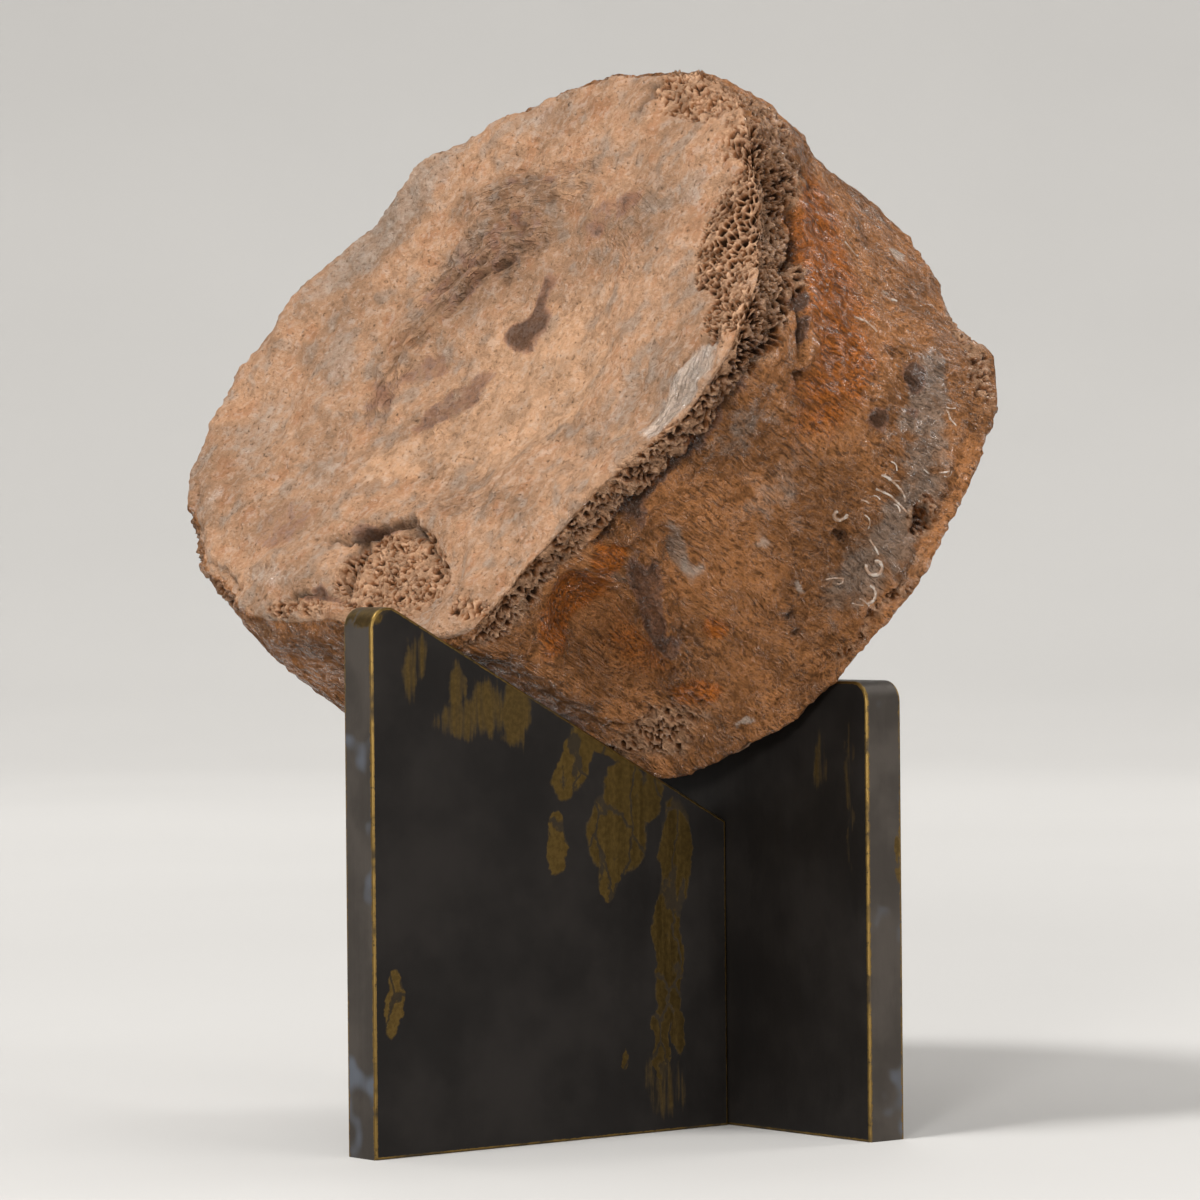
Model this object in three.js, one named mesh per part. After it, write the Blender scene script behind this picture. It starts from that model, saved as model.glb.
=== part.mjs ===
// Fossil woolly mammoth vertebra: the round body of the bone, its arch and processes broken away,
// lying tilted on a stand of two thick brass plates that meet in a T.
// Lengths are in millimetres and angles in degrees. +Z is up and -Y is the front. The origin is on
// the table, under the line where the middle planes of the two plates meet.

import * as THREE from 'three';
import { mergeVertices } from 'three/addons/utils/BufferGeometryUtils.js';

// The stand
const STAND_HEADING = 38.7;
const PLATE_THICKNESS = 8;
const EDGE_BREAK = 0.35;
const CORNER_RADIUS = 3.6;
const CORNER_STEPS = 8;
const FRONT_PLATE_END = 82;
const FRONT_PLATE_END_HEIGHT = 95.6;
const FRONT_PLATE_LOW_HEIGHT = 54.2;
const REAR_PLATE_HEIGHT = 79.5;
const REAR_PLATE_SEEN_ARM = 41.4;
const REAR_PLATE_HIDDEN_ARM = 60;
const CONTACT_GAP = 0.3;

// Where the bone lies in the stand's own frame, and how far its axis dips towards the rear plate
const BONE_CENTRE = new THREE.Vector3(-36, 28.5, 138.5);
const BONE_DIP = 29.5;

// The bone: its length between its two rims. Its outline is given every 15 degrees, counted round
// from the side that points along the rear plate's seen arm.
const BONE_LENGTH = 56.2;

// For each of those angles: the radius of the front and of the back rim, how far the wall is drawn
// in halfway between them, and how far each rim is rounded off
const FRONT_RIM = [
  74.3, 70, 68.5, 68.5, 65.5, 60.5, 59, 58, 57.5, 59, 62, 68.5,
  76, 80.5, 76, 69, 64, 59, 55.5, 59.8, 67.3, 62, 61.5, 68.5,
];
const BACK_RIM = [
  78, 79.2, 69, 65.5, 64.5, 66, 62, 60, 60, 62, 66, 72,
  78, 82, 81, 75, 68, 63, 60.5, 61.3, 64.6, 69.5, 74, 77,
];
const WAIST = [
  7, 6, 4, 2, 0, 1, 3, 4, 4, 4, 4, 4,
  3, 2, 0, 0, 1, 3, 4, 4, 5, 7, 8, 8,
];
const RIM_ROUNDING = [
  2, 2, 2, 2.5, 3, 3, 3, 3, 3, 3, 3, 4,
  5, 6, 6, 6, 5, 4, 3, 2.5, 2, 2, 2, 2,
];
// The share of that rounding at which the mesh turns from the face to the wall
const RIM_CORNER = 0.3;

// The rings of the end faces near their middle follow this plain oval
const MIDDLE_OVAL = { acrossX: 73, acrossY: 57 };

// Each end face is hollowed as a shallow oval bowl, and the power says how softly the bowl's edge
// runs out into the rim
const FRONT_BOWL = { acrossX: 72, acrossY: 54, depth: 5 };
const BACK_BOWL = { acrossX: 66, acrossY: 50, depth: 4 };
const BOWL_POWER = 1.5;

// Marks on the front face, each about a point of the face: how far it reaches along its own two
// axes, how far it is turned, its height, and the share of its reach that is level
const FACE_MARKS = [
  { what: 'inner dish', at: [4, -2], reach: [36, 30], turn: 20, height: -1.8, level: 0.75 },
  { what: 'fold over the dish', at: [-8, 31], reach: [30, 6], turn: 18, height: 0.9, level: 0 },
  { what: 'broken spongy pit', at: [6, -45], reach: [22, 11], turn: -14, height: -3, level: 0.7 },
  { what: 'broken upper corner', at: [33, 50], reach: [17, 9], turn: -20, height: -1.8, level: 0.5 },
  { what: 'knob on the upper rim', at: [36, 62], reach: [9, 6], turn: -20, height: 2, level: 0.2 },
  { what: 'worn right rim', at: [66, 20], reach: [12, 24], turn: 8, height: -2.6, level: 0.1 },
  { what: 'polished facet', at: [66, -10], reach: [5, 12], turn: -20, height: -1, level: 0.5 },
];

// Marks on the wall: an angle round the bone and a depth behind the front rim, then as above, with
// the first axis running round the bone and the second along it
const WALL_MARKS = [
  { what: 'spongy break by the rim', at: [19, 8], reach: [19, 7], turn: 0, height: -1.6, level: 0.6 },
  { what: 'broken lip beside it', at: [17, 17], reach: [17, 5], turn: 4, height: 1.6, level: 0.2 },
  { what: 'shoulder at the top', at: [52, 15], reach: [15, 15], turn: 0, height: 2, level: 0.2 },
  { what: 'ridge down the side', at: [319.5, 31], reach: [22, 4.5], turn: 121, height: 4, level: 0 },
  { what: 'hollow beside the ridge', at: [311.5, 22], reach: [21, 8], turn: 112, height: -3.4, level: 0.3 },
  { what: 'groove beyond the ridge', at: [329, 29], reach: [17, 5], turn: 105, height: -1.8, level: 0 },
  { what: 'lower keel', at: [302, 20], reach: [26, 4.5], turn: 90, height: 3, level: 0.1 },
  { what: 'broken end of the keel', at: [307, 47], reach: [9, 8], turn: 0, height: -1.8, level: 0.5 },
  { what: 'canal floor', at: [122, 28], reach: [27, 30], turn: 0, height: -5, level: 0.2 },
  { what: 'right arch stump', at: [88, 27], reach: [14, 21], turn: 12, height: 4.2, level: 0.3 },
  { what: 'left arch stump', at: [163, 27], reach: [15, 20], turn: -14, height: 4, level: 0.35 },
  { what: 'left side hollow', at: [197, 30], reach: [22, 18], turn: 0, height: -2.5, level: 0.1 },
  { what: 'underside hollow', at: [262, 29], reach: [24, 17], turn: 0, height: -3, level: 0.1 },
];
const MEAN_RADIUS = 66;

// Mesh fineness: squares across a face, and rows between the rims
const FACE_SQUARES = 34;
const WALL_ROWS = 15;

// Smooth lumps all over the bone, wide ones and small ones
const LUMPS = [
  { size: 21, height: 0.9 },
  { size: 10, height: 0.5 },
];

function brass(name, color, roughness) {
  return new THREE.MeshStandardMaterial({ name, color, roughness, metalness: 0.9 });
}

function fossilBone() {
  return new THREE.MeshStandardMaterial({
    name: 'fossil_bone',
    color: 0x8f6238,
    roughness: 0.75,
    metalness: 0,
  });
}

function plateGeometry(outline) {
  const geometry = new THREE.ExtrudeGeometry(outline, {
    depth: PLATE_THICKNESS - 2 * EDGE_BREAK,
    bevelEnabled: true,
    bevelThickness: EDGE_BREAK,
    bevelSize: EDGE_BREAK,
    bevelOffset: -EDGE_BREAK,
    bevelSegments: 1,
    curveSegments: CORNER_STEPS,
  });
  geometry.rotateX(Math.PI / 2);
  geometry.translate(0, PLATE_THICKNESS / 2 - EDGE_BREAK, 0);
  return geometry;
}

// The front plate stands along -X: square to the rear plate, high at its free end, and sloped on top
function frontPlate() {
  const start = -PLATE_THICKNESS / 2 - CONTACT_GAP;
  const slope = Math.atan2(FRONT_PLATE_END_HEIGHT - FRONT_PLATE_LOW_HEIGHT, FRONT_PLATE_END + start);
  const drop = CORNER_RADIUS * (Math.tan(slope) + 1 / Math.cos(slope));
  const outline = new THREE.Shape();
  outline.moveTo(start, 0);
  outline.lineTo(start, FRONT_PLATE_LOW_HEIGHT);
  outline.absarc(-FRONT_PLATE_END + CORNER_RADIUS, FRONT_PLATE_END_HEIGHT - drop, CORNER_RADIUS,
    Math.PI / 2 - slope, Math.PI, false);
  outline.lineTo(-FRONT_PLATE_END, 0);
  outline.closePath();
  const mesh = new THREE.Mesh(plateGeometry(outline), brass('blackened_brass_front', 0x2b2722, 0.45));
  mesh.name = 'front_plate';
  return mesh;
}

// The rear plate stands along Y: a plain upright rectangle with its two top corners rounded
function rearPlate() {
  const low = -REAR_PLATE_SEEN_ARM;
  const high = REAR_PLATE_HIDDEN_ARM;
  const shoulder = REAR_PLATE_HEIGHT - CORNER_RADIUS;
  const outline = new THREE.Shape();
  outline.moveTo(low, 0);
  outline.lineTo(high, 0);
  outline.absarc(high - CORNER_RADIUS, shoulder, CORNER_RADIUS, 0, Math.PI / 2, false);
  outline.absarc(low + CORNER_RADIUS, shoulder, CORNER_RADIUS, Math.PI / 2, Math.PI, false);
  outline.closePath();
  const geometry = plateGeometry(outline);
  geometry.rotateZ(Math.PI / 2);
  const mesh = new THREE.Mesh(geometry, brass('blackened_brass_rear', 0x26221e, 0.5));
  mesh.name = 'rear_plate';
  return mesh;
}

// A smooth closed curve through evenly spaced values, read at any angle
function around(values, angle) {
  const count = values.length;
  const place = ((angle / (2 * Math.PI)) % 1 + 1) % 1 * count;
  const index = Math.floor(place);
  const f = place - index;
  const [a, b, c, d] = [-1, 0, 1, 2].map((step) => values[(index + step + count) % count]);
  return b + 0.5 * f * (c - a + f * (2 * a - 5 * b + 4 * c - d + f * (3 * (b - c) + d - a)));
}

// A repeatable number from 0 to 1 for each point of a whole-number grid
function gridNumber(i, j, k) {
  const mixed = Math.sin(i * 127.1 + j * 311.7 + k * 74.7) * 43758.5453;
  return mixed - Math.floor(mixed);
}

// Smooth lumps about one size across, from -1 to 1
function lump(point, size) {
  const p = [point.x, point.y, point.z].map((value) => value / size);
  const cell = p.map(Math.floor);
  const f = p.map((value, axis) => THREE.MathUtils.smoothstep(value - cell[axis], 0, 1));
  let sum = 0;
  for (const i of [0, 1]) {
    for (const j of [0, 1]) {
      for (const k of [0, 1]) {
        const weight = (i ? f[0] : 1 - f[0]) * (j ? f[1] : 1 - f[1]) * (k ? f[2] : 1 - f[2]);
        sum += weight * gridNumber(cell[0] + i, cell[1] + j, cell[2] + k);
      }
    }
  }
  return 2 * sum - 1;
}

// Turns a point of a square into a share of the way out and an angle, evenly spaced round each ring
function squareToRing(x, y) {
  const out = Math.max(Math.abs(x), Math.abs(y));
  if (out === 0) return { out, angle: 0 };
  const eighth = Math.PI / 4;
  if (Math.abs(x) >= Math.abs(y)) {
    return { out, angle: eighth * (y / x) + (x < 0 ? Math.PI : 0) };
  }
  return { out, angle: Math.PI / 2 - eighth * (x / y) + (y < 0 ? Math.PI : 0) };
}

function ovalRadius(angle) {
  return 1 / Math.hypot(Math.cos(angle) / MIDDLE_OVAL.acrossX, Math.sin(angle) / MIDDLE_OVAL.acrossY);
}

// How much a mark adds at an offset from its middle
function markHeight(mark, offsetX, offsetY) {
  const turn = THREE.MathUtils.degToRad(mark.turn);
  const first = (offsetX * Math.cos(turn) + offsetY * Math.sin(turn)) / mark.reach[0];
  const second = (offsetY * Math.cos(turn) - offsetX * Math.sin(turn)) / mark.reach[1];
  return mark.height * (1 - THREE.MathUtils.smoothstep(Math.hypot(first, second), mark.level, 1));
}

function faceMarks(x, y) {
  return FACE_MARKS.reduce((sum, mark) => sum + markHeight(mark, x - mark.at[0], y - mark.at[1]), 0);
}

function wallMarks(angle, depth) {
  return WALL_MARKS.reduce((sum, mark) => {
    const turned = angle - THREE.MathUtils.degToRad(mark.at[0]);
    const round = MEAN_RADIUS * Math.atan2(Math.sin(turned), Math.cos(turned));
    return sum + markHeight(mark, round, depth - mark.at[1]);
  }, 0);
}

function bowlDepth(bowl, x, y) {
  const inward = Math.max(0, 1 - (x / bowl.acrossX) ** 2 - (y / bowl.acrossY) ** 2);
  return bowl.depth * inward ** BOWL_POWER;
}

// A point of one of the two end faces, hollowed towards its middle and rounded at its rim
function facePoint(out, angle, isFront) {
  const rim = around(isFront ? FRONT_RIM : BACK_RIM, angle);
  const rounding = around(RIM_ROUNDING, angle);
  const lastRing = 1 - 2 / FACE_SQUARES;
  const onRim = out > 1 - 1 / FACE_SQUARES;
  const share = onRim ? 1 : Math.min(1, out / lastRing);
  const outer = THREE.MathUtils.lerp(ovalRadius(angle), rim - rounding, share * share);
  const radius = onRim ? rim - RIM_CORNER * rounding : share * outer;
  const x = radius * Math.cos(angle);
  const y = radius * Math.sin(angle);
  const corner = onRim ? RIM_CORNER * rounding : 0;
  if (isFront) return new THREE.Vector3(x, y, faceMarks(x, y) - bowlDepth(FRONT_BOWL, x, y) - corner);
  return new THREE.Vector3(x, y, bowlDepth(BACK_BOWL, x, y) + corner - BONE_LENGTH);
}

// A point of the wall between the rims, drawn in towards its middle
function wallPoint(row, angle) {
  const rounding = around(RIM_ROUNDING, angle);
  const along = (row - 1) / (WALL_ROWS - 2);
  const depth = rounding + along * (BONE_LENGTH - 2 * rounding);
  const share = depth / BONE_LENGTH;
  const straight = THREE.MathUtils.lerp(around(FRONT_RIM, angle), around(BACK_RIM, angle), share);
  const drawnIn = around(WAIST, angle) * (1 - (2 * along - 1) ** 2);
  const radius = straight - drawnIn + wallMarks(angle, depth);
  return new THREE.Vector3(radius * Math.cos(angle), radius * Math.sin(angle), -depth);
}

function bonePoint(corner) {
  const { out, angle } = squareToRing(corner.x, corner.y);
  const row = Math.round((1 - corner.z) / 2 * WALL_ROWS);
  const inWall = row > 0 && row < WALL_ROWS;
  return inWall ? wallPoint(row, angle) : facePoint(out, angle, row === 0);
}

function addLumps(geometry) {
  geometry.computeVertexNormals();
  const position = geometry.attributes.position;
  const normal = geometry.attributes.normal;
  for (let i = 0; i < position.count; i += 1) {
    const point = new THREE.Vector3().fromBufferAttribute(position, i);
    const outward = new THREE.Vector3().fromBufferAttribute(normal, i);
    const height = LUMPS.reduce((sum, kind) => sum + kind.height * lump(point, kind.size), 0);
    point.addScaledVector(outward, height);
    position.setXYZ(i, point.x, point.y, point.z);
  }
}

// The bone in its own frame: +Z out of the front face, whose rim lies about the origin
function vertebra() {
  let geometry = new THREE.BoxGeometry(2, 2, 2, FACE_SQUARES, FACE_SQUARES, WALL_ROWS);
  geometry.deleteAttribute('normal');
  geometry.deleteAttribute('uv');
  geometry = mergeVertices(geometry);
  const position = geometry.attributes.position;
  for (let i = 0; i < position.count; i += 1) {
    const point = bonePoint(new THREE.Vector3().fromBufferAttribute(position, i));
    position.setXYZ(i, point.x, point.y, point.z);
  }
  addLumps(geometry);
  const mesh = new THREE.Mesh(geometry, fossilBone());
  mesh.name = 'vertebra';
  mesh.position.copy(BONE_CENTRE);
  mesh.rotation.set(THREE.MathUtils.degToRad(90 - BONE_DIP), 0, -Math.PI / 2, 'ZYX');
  return mesh;
}

const display = new THREE.Group();
display.rotation.z = THREE.MathUtils.degToRad(STAND_HEADING);
display.add(frontPlate(), rearPlate(), vertebra());

export default display;
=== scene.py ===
"""Finishes a fossil mammoth vertebra on its stand: the weathered bone, the worm tubes on it and
the two patinated brass plates, with a pale studio around them."""

from math import cos, hypot, pi, radians, sin, tan

import bmesh
import bpy
import numpy as np
from bpy.props import FloatProperty, FloatVectorProperty, IntProperty, PointerProperty
from mathutils import Matrix, Vector
from mathutils.bvhtree import BVHTree


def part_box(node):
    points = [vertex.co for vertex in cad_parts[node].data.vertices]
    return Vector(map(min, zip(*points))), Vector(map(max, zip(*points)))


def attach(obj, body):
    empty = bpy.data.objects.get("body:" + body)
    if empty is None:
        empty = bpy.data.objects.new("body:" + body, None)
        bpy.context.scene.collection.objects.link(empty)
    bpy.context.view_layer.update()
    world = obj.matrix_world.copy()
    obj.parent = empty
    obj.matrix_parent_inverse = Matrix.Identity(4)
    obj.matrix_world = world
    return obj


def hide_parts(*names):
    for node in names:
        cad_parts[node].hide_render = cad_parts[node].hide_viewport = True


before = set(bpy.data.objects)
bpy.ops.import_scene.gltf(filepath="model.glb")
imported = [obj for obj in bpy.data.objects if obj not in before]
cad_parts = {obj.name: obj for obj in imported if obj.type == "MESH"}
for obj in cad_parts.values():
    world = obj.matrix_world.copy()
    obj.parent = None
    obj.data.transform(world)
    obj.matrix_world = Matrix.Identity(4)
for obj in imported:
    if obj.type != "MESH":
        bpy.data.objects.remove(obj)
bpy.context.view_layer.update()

bl_info = {
    "name": "Fossil Vertebra on a Stand",
    "version": (1, 0, 0),
    "blender": (4, 5, 0),
    "location": "3D View > Sidebar > Fossil",
    "description": "Makes the weathered bone, its worm tubes and its patinated stand",
    "category": "Object",
}

MM = 0.001
OBJECT_CENTRE = (-0.03, 0.0, 0.11)

# The stand's own frame: X along the front plate, Y along the rear plate, turned about Z
STAND_HEADING = radians(38.7)
STAND_FRAME = Matrix.Rotation(STAND_HEADING, 4, "Z")
PLATE_THICKNESS = 8.0
CORNER_RADIUS = 3.6
FRONT_PLATE_START = -4.3
FRONT_PLATE_END = -82.0
FRONT_PLATE_LOW_HEIGHT = 54.2
FRONT_PLATE_END_HEIGHT = 95.6
REAR_PLATE_SPAN = (-41.4, 60.0)
REAR_PLATE_HEIGHT = 79.5

# The bone's own frame: Z out of its front face, X along the rear plate's seen arm
BONE_CENTRE = Vector((-36.0, 28.5, 138.5))
BONE_DIP = radians(29.5)
BONE_FRAME = (
    STAND_FRAME
    @ Matrix.Translation(BONE_CENTRE * MM)
    @ Matrix.Rotation(-pi / 2, 4, "Z")
    @ Matrix.Rotation(pi / 2 - BONE_DIP, 4, "X")
)
# Of the bone, in its own frame: its mean radius, the dish in its face, and the wall that is seen
MEAN_RADIUS = 66.0
DISH_MIDDLE = (4.0, -2.0)
DISH_REACH = (36.0, 30.0)
DISH_SEAM = radians(-40)
SEEN_WALL = (radians(-75), radians(65))

SUBDIVISIONS = 2
NORMAL_ROUNDS = 24
FINE_SHARE = 0.25
FINEST_SHARE = 0.35
TRIANGLE_LIMIT = 196000
LEAST_GAP = 0.15
SEED_STEPS = (3.1, 5.3, 7.7)

# Regions of the bone's surface. Each row is a place, how far it reaches along its own two axes in
# millimetres, its turn in degrees, the share of the reach that is level, and its strength. A place
# on the front face is a point of it. A place on the wall is an angle round the bone in degrees and
# a depth behind the front rim.
FACE_REGIONS = {
    "spongy": [
        ((60, 21), (9, 17), 18, 0.6, 1.0),
        ((68, 5), (8, 9), 30, 0.5, 0.9),
        ((55, 38), (4, 6), 30, 0.2, 0.6),
    ],
    "crumbly": [
        ((3, -45), (17, 11), -8, 0.75, 1.0),
        ((34, 52), (19, 7.5), -14, 0.5, 1.0),
        ((54, 40), (6, 12), 38, 0.3, 0.8),
        ((62, -24), (3.5, 13), -37, 0.4, 0.9),
        ((45, -44), (3.5, 17), -37, 0.4, 0.9),
        ((32, -53), (8, 4), 0, 0.3, 0.8),
        ((-18, -53), (14, 3), 0, 0.4, 0.7),
        ((-66, -38), (3, 16), 38, 0.3, 0.6),
    ],
    "orange": [
        ((12, -6), (36, 26), 8, 0.3, 1.0),
        ((-14, -20), (16, 9), 10, 0.2, 0.9),
        ((22, 12), (12, 10), 0, 0.2, 0.6),
        ((5, 36), (10, 5), 8, 0.2, 0.8),
        ((52, -17), (4, 3), 0, 0.2, 0.9),
        ((-38, 42), (14, 4), 40, 0.2, 0.5),
    ],
    "grey": [
        ((-44, 2), (9, 14), 20, 0.1, 0.8),
        ((-34, -22), (8, 10), 0, 0.1, 0.7),
        ((43, 32), (8, 8), 0, 0.1, 0.7),
        ((-12, 50), (18, 5), 12, 0.1, 0.6),
        ((-20, 24), (13, 4), 28, 0.2, 0.7),
        ((48, -8), (5, 22), -4, 0.1, 0.6),
        ((-45, 30), (36, 9), 46, 0.3, 0.85),
        ((-58, -14), (8, 20), 14, 0.2, 0.6),
    ],
    "dark": [
        ((5.6, 8.2), (8.0, 5.6), 20, 0.4, 0.9),
        ((7.2, 14), (3.2, 7.5), -8, 0.1, 0.7),
        ((-8, -7), (12, 5), 48, 0.5, 0.55),
        ((-20, 0), (9, 4.5), 20, 0.5, 0.5),
        # Painted shade in the crack under the ledge
        ((-8, -35.5), (11, 2.4), 12, 0.3, 0.6),
        # The next two rows: painted shade in a crack
        ((-2.5, 38), (3.5, 1.6), 0, 0.2, 0.55),
        ((-12, 36.5), (5, 1.4), 10, 0.2, 0.45),
        ((-14, 21), (24, 8), 30, 0.55, 0.38),
        # Painted shade in the crack near the lower rim
        ((-12, -51), (12, 1.6), -4, 0.2, 0.6),
        ((-28, -7), (6, 9), 0, 0.4, 0.42),
        ((20, 29), (14, 5), 4, 0.5, 0.42),
        ((-36, -34), (12, 7), -20, 0.5, 0.4),
    ],
    "pale": [
        # Painted highlight: the glossy facet along the rim, painted pale
        ((64.5, -10), (4.4, 14), -24, 0.4, 1.15),
        ((-30, -46), (18, 4), -10, 0.2, 0.45),
        ((-61, -30), (4, 6), 30, 0.2, 0.45),
    ],
    "wrinkle": [
        ((-14, 22), (26, 9), 24, 0.4, 1.0),
        ((-28, 2), (6, 22), -6, 0.3, 0.8),
        ((-6, 35), (28, 7), 8, 0.3, 0.8),
        ((14, -30), (26, 5), -4, 0.2, 0.5),
        ((-8, -8), (16, 14), 0, 0.1, 0.4),
        ((30, 26), (16, 14), 0, 0.1, 0.4),
        ((64, -10), (5, 15), -24, 0.5, 0.9),
    ],
}
WALL_REGIONS = {
    "spongy": [
        ((18, 6), (19, 9), 0, 0.7, 1.0),
        ((3, 6), (12, 6), 0, 0.4, 0.7),
        ((34, 6), (8, 7), 0, 0.4, 0.7),
        ((40, 15), (5, 5), 0, 0.3, 0.7),
    ],
    "crumbly": [
        ((-16, 3.5), (36, 6.5), 0, 0.5, 1.0),
        ((-42, 4), (30, 6), 0, 0.4, 0.8),
        ((40, 7), (22, 9), 0, 0.4, 0.8),
        ((-5, 51), (5, 3.5), 0, 0.4, 0.9),
        ((-57, 46), (24, 9), 0, 0.1, 0.6),
        ((-75, 44), (22, 12), 0, 0.3, 0.6),
        ((22, 53), (22, 3), 0, 0.2, 0.6),
        ((-20, 53.5), (22, 2.4), 0, 0.2, 0.5),
        ((200, 4), (110, 4), 0, 0.2, 0.5),
        ((180, 52), (150, 4), 0, 0.2, 0.5),
        ((88, 27), (11, 17), 12, 0.4, 0.9),
        ((163, 27), (12, 16), -14, 0.4, 0.9),
    ],
    "orange": [
        ((26, 20), (30, 13), 0, 0.3, 0.9),
        ((10, 26), (30, 14), 0, 0.1, 0.8),
        ((-37.5, 14), (4.5, 5.5), 0, 0.5, 1.2),
        ((-48, 17), (12, 9), 0, 0.4, 1.1),
        ((-48, 32), (9, 12), 0, 0.2, 0.5),
        ((-35.5, 37), (4.5, 3), 0, 0.3, 0.9),
        ((-45, 42), (7, 5), 30, 0.2, 0.9),
        ((41, 5), (6, 4), 0, 0.2, 0.6),
        ((14, 4), (3, 3), 0, 0.2, 0.9),
    ],
    "grey": [
        ((-8, 48), (30, 7), 0, 0.2, 0.9),
        ((9, 44), (16, 7), 0, 0.2, 0.8),
        ((-29, 23), (2.6, 10), 38, 0.3, 0.9),
        ((-8, 14), (14, 7), 0, 0.1, 0.6),
        ((-38, 18), (3, 4), 0, 0.1, 0.6),
        ((55, 40), (16, 14), 0, 0.1, 0.4),
    ],
    "dark": [
        # The next two rows: painted shade in the pocket under the honeycomb's lip
        ((12.5, 13.5), (3.5, 2.5), 0, 0.4, 1.0),
        ((7.5, 15.5), (4.5, 2), 20, 0.4, 1.0),
        # The next three rows: painted shade in holes
        ((3, 37), (2.2, 3), 0, 0.4, 0.9),
        ((12, 40), (2.6, 3), 0, 0.4, 0.9),
        ((7, 41.5), (2, 2.4), 0, 0.3, 0.6),
        ((-38.5, 26), (3.2, 16), 35, 0.5, 0.62),
        ((-44, 34), (1.6, 8), 30, 0.2, 0.5),
        # Painted shade along the groove behind the front rim
        ((-18, 8), (26, 2.4), 0, 0.2, 0.85),
        # Painted shade: the underside darkened
        ((-80, 28), (21, 30), 0, 0.6, 0.95),
        ((-43, 31), (1.8, 10), 24, 0.2, 0.8),
        # Painted shade in a hole
        ((40, 16), (4, 4), 0, 0.2, 0.7),
    ],
    "pale": [
        ((42, 43), (1.9, 4.5), -14, 0.6, 0.9),
        ((-31, 28), (3, 5.5), 38, 0.2, 0.75),
        # Painted light: the lower wall made paler where the light falls on it
        ((-14, 30), (20, 15), 0, 0.1, 0.34),
        ((-22, 42), (1.8, 1.4), 0, 0.3, 0.8),
        ((-21, 33), (2.2, 1.6), 0, 0.2, 0.7),
        ((-43, 52), (2.4, 1.0), 30, 0.4, 1.0),
        ((26, 37.5), (1.4, 0.8), 0, 0.3, 0.9),
    ],
    "wrinkle": [
        ((-40, 30), (7, 18), 28, 0.4, 1.0),
        ((-12, 44), (34, 11), 0, 0.3, 0.8),
        ((16, 32), (30, 14), 0, 0.2, 0.45),
        ((-48, 26), (9, 14), 0, 0.3, 0.5),
    ],
}
CHANNELS = tuple(FACE_REGIONS)

# Cracks, ledges and lips: a line of points as above, its width, its height and the side step
FACE_CREASES = [
    ([(-18, -38), (-13, -37.5), (-9, -36), (-5, -33.5), (-1, -32.6), (2, -34)], 1.1, -1.9, -1.6),
    ([(2, -34), (9, -38), (16, -44), (18, -50)], 1.0, -0.8, -1.0),
    ([(-11, -37), (-10.5, -42), (-8.5, -47), (-5, -51)], 1.3, -1.3, 1.0),
    ([(-25, 6), (-21, 12.5), (-17, 17), (-12, 19.5), (-6, 22), (2, 25.5), (10, 26.5)], 0.7, -0.45, -0.35),
    ([(-29, 22), (-22, 26.5), (-12, 28.6), (-2, 30.6)], 0.9, -0.7, 0.2),
    ([(-25, 32), (-15, 36), (-2, 38.4), (5, 39)], 0.9, -0.6, 0.2),
    ([(-29, 7), (-28.4, 0), (-26, -8), (-25, -13)], 0.9, -0.7, 0.0),
    ([(-31.5, -16), (-30.5, -21)], 1.1, -0.9, 0.0),
    ([(20, 49), (21, 54), (22, 58)], 1.1, -0.8, 0.0),
    ([(-73, -14), (-71, -24), (-65, -34), (-56, -42), (-44, -47), (-30, -50)], 1.6, -0.9, 0.5),
    ([(-22, -51), (-13, -50.5), (-6, -52)], 1.2, -1.3, 0.5),
    ([(-2, -30), (8, -29), (20, -30), (33, -28)], 0.8, -0.4, 0.0),
    ([(-64, 12), (-55, 24), (-44, 36), (-30, 45)], 1.3, -0.4, 0.3),
    ([(-20, 44), (-6, 47), (10, 46)], 0.9, -0.35, 0.0),
    ([(40, -10), (46, -20), (44, -30)], 0.8, -0.3, 0.0),
]
WALL_CREASES = [
    ([(30, 13), (26, 14), (22, 12.8), (17, 11.6), (13, 13), (9, 15.5), (6, 16.5)], 1.6, -2.6, 1.4),
    ([(31, 12.5), (34, 9), (33, 5)], 1.2, -0.9, 0.0),
    ([(-31, 14), (-33, 21), (-36, 27), (-41, 33), (-46, 40)], 1.1, -1.2, 0.0),
    ([(-29, 11), (-33, 19), (-37, 26), (-42, 32), (-46, 38)], 4.5, 2.6, 0.0),
    ([(-34, 17), (-38, 24), (-42.5, 31), (-48, 38)], 1.1, -1.4, 0.0),
    ([(-28, 17), (-31, 24), (-36, 30), (-42, 37)], 1.0, -0.9, 0.0),
    ([(-40, 20), (-44, 27), (-49, 33)], 1.0, -0.8, 0.0),
    ([(-56, 8), (-57, 20), (-56.5, 32), (-54, 42)], 1.2, -0.8, 0.9),
    ([(25, 51), (5, 53), (-15, 53), (-38, 52)], 1.2, -0.8, 0.5),
    ([(4, 8), (-2, 8), (-12, 8.5), (-20, 9), (-28, 8), (-37, 9)], 2.0, -2.4, 1.0),
]

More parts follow.
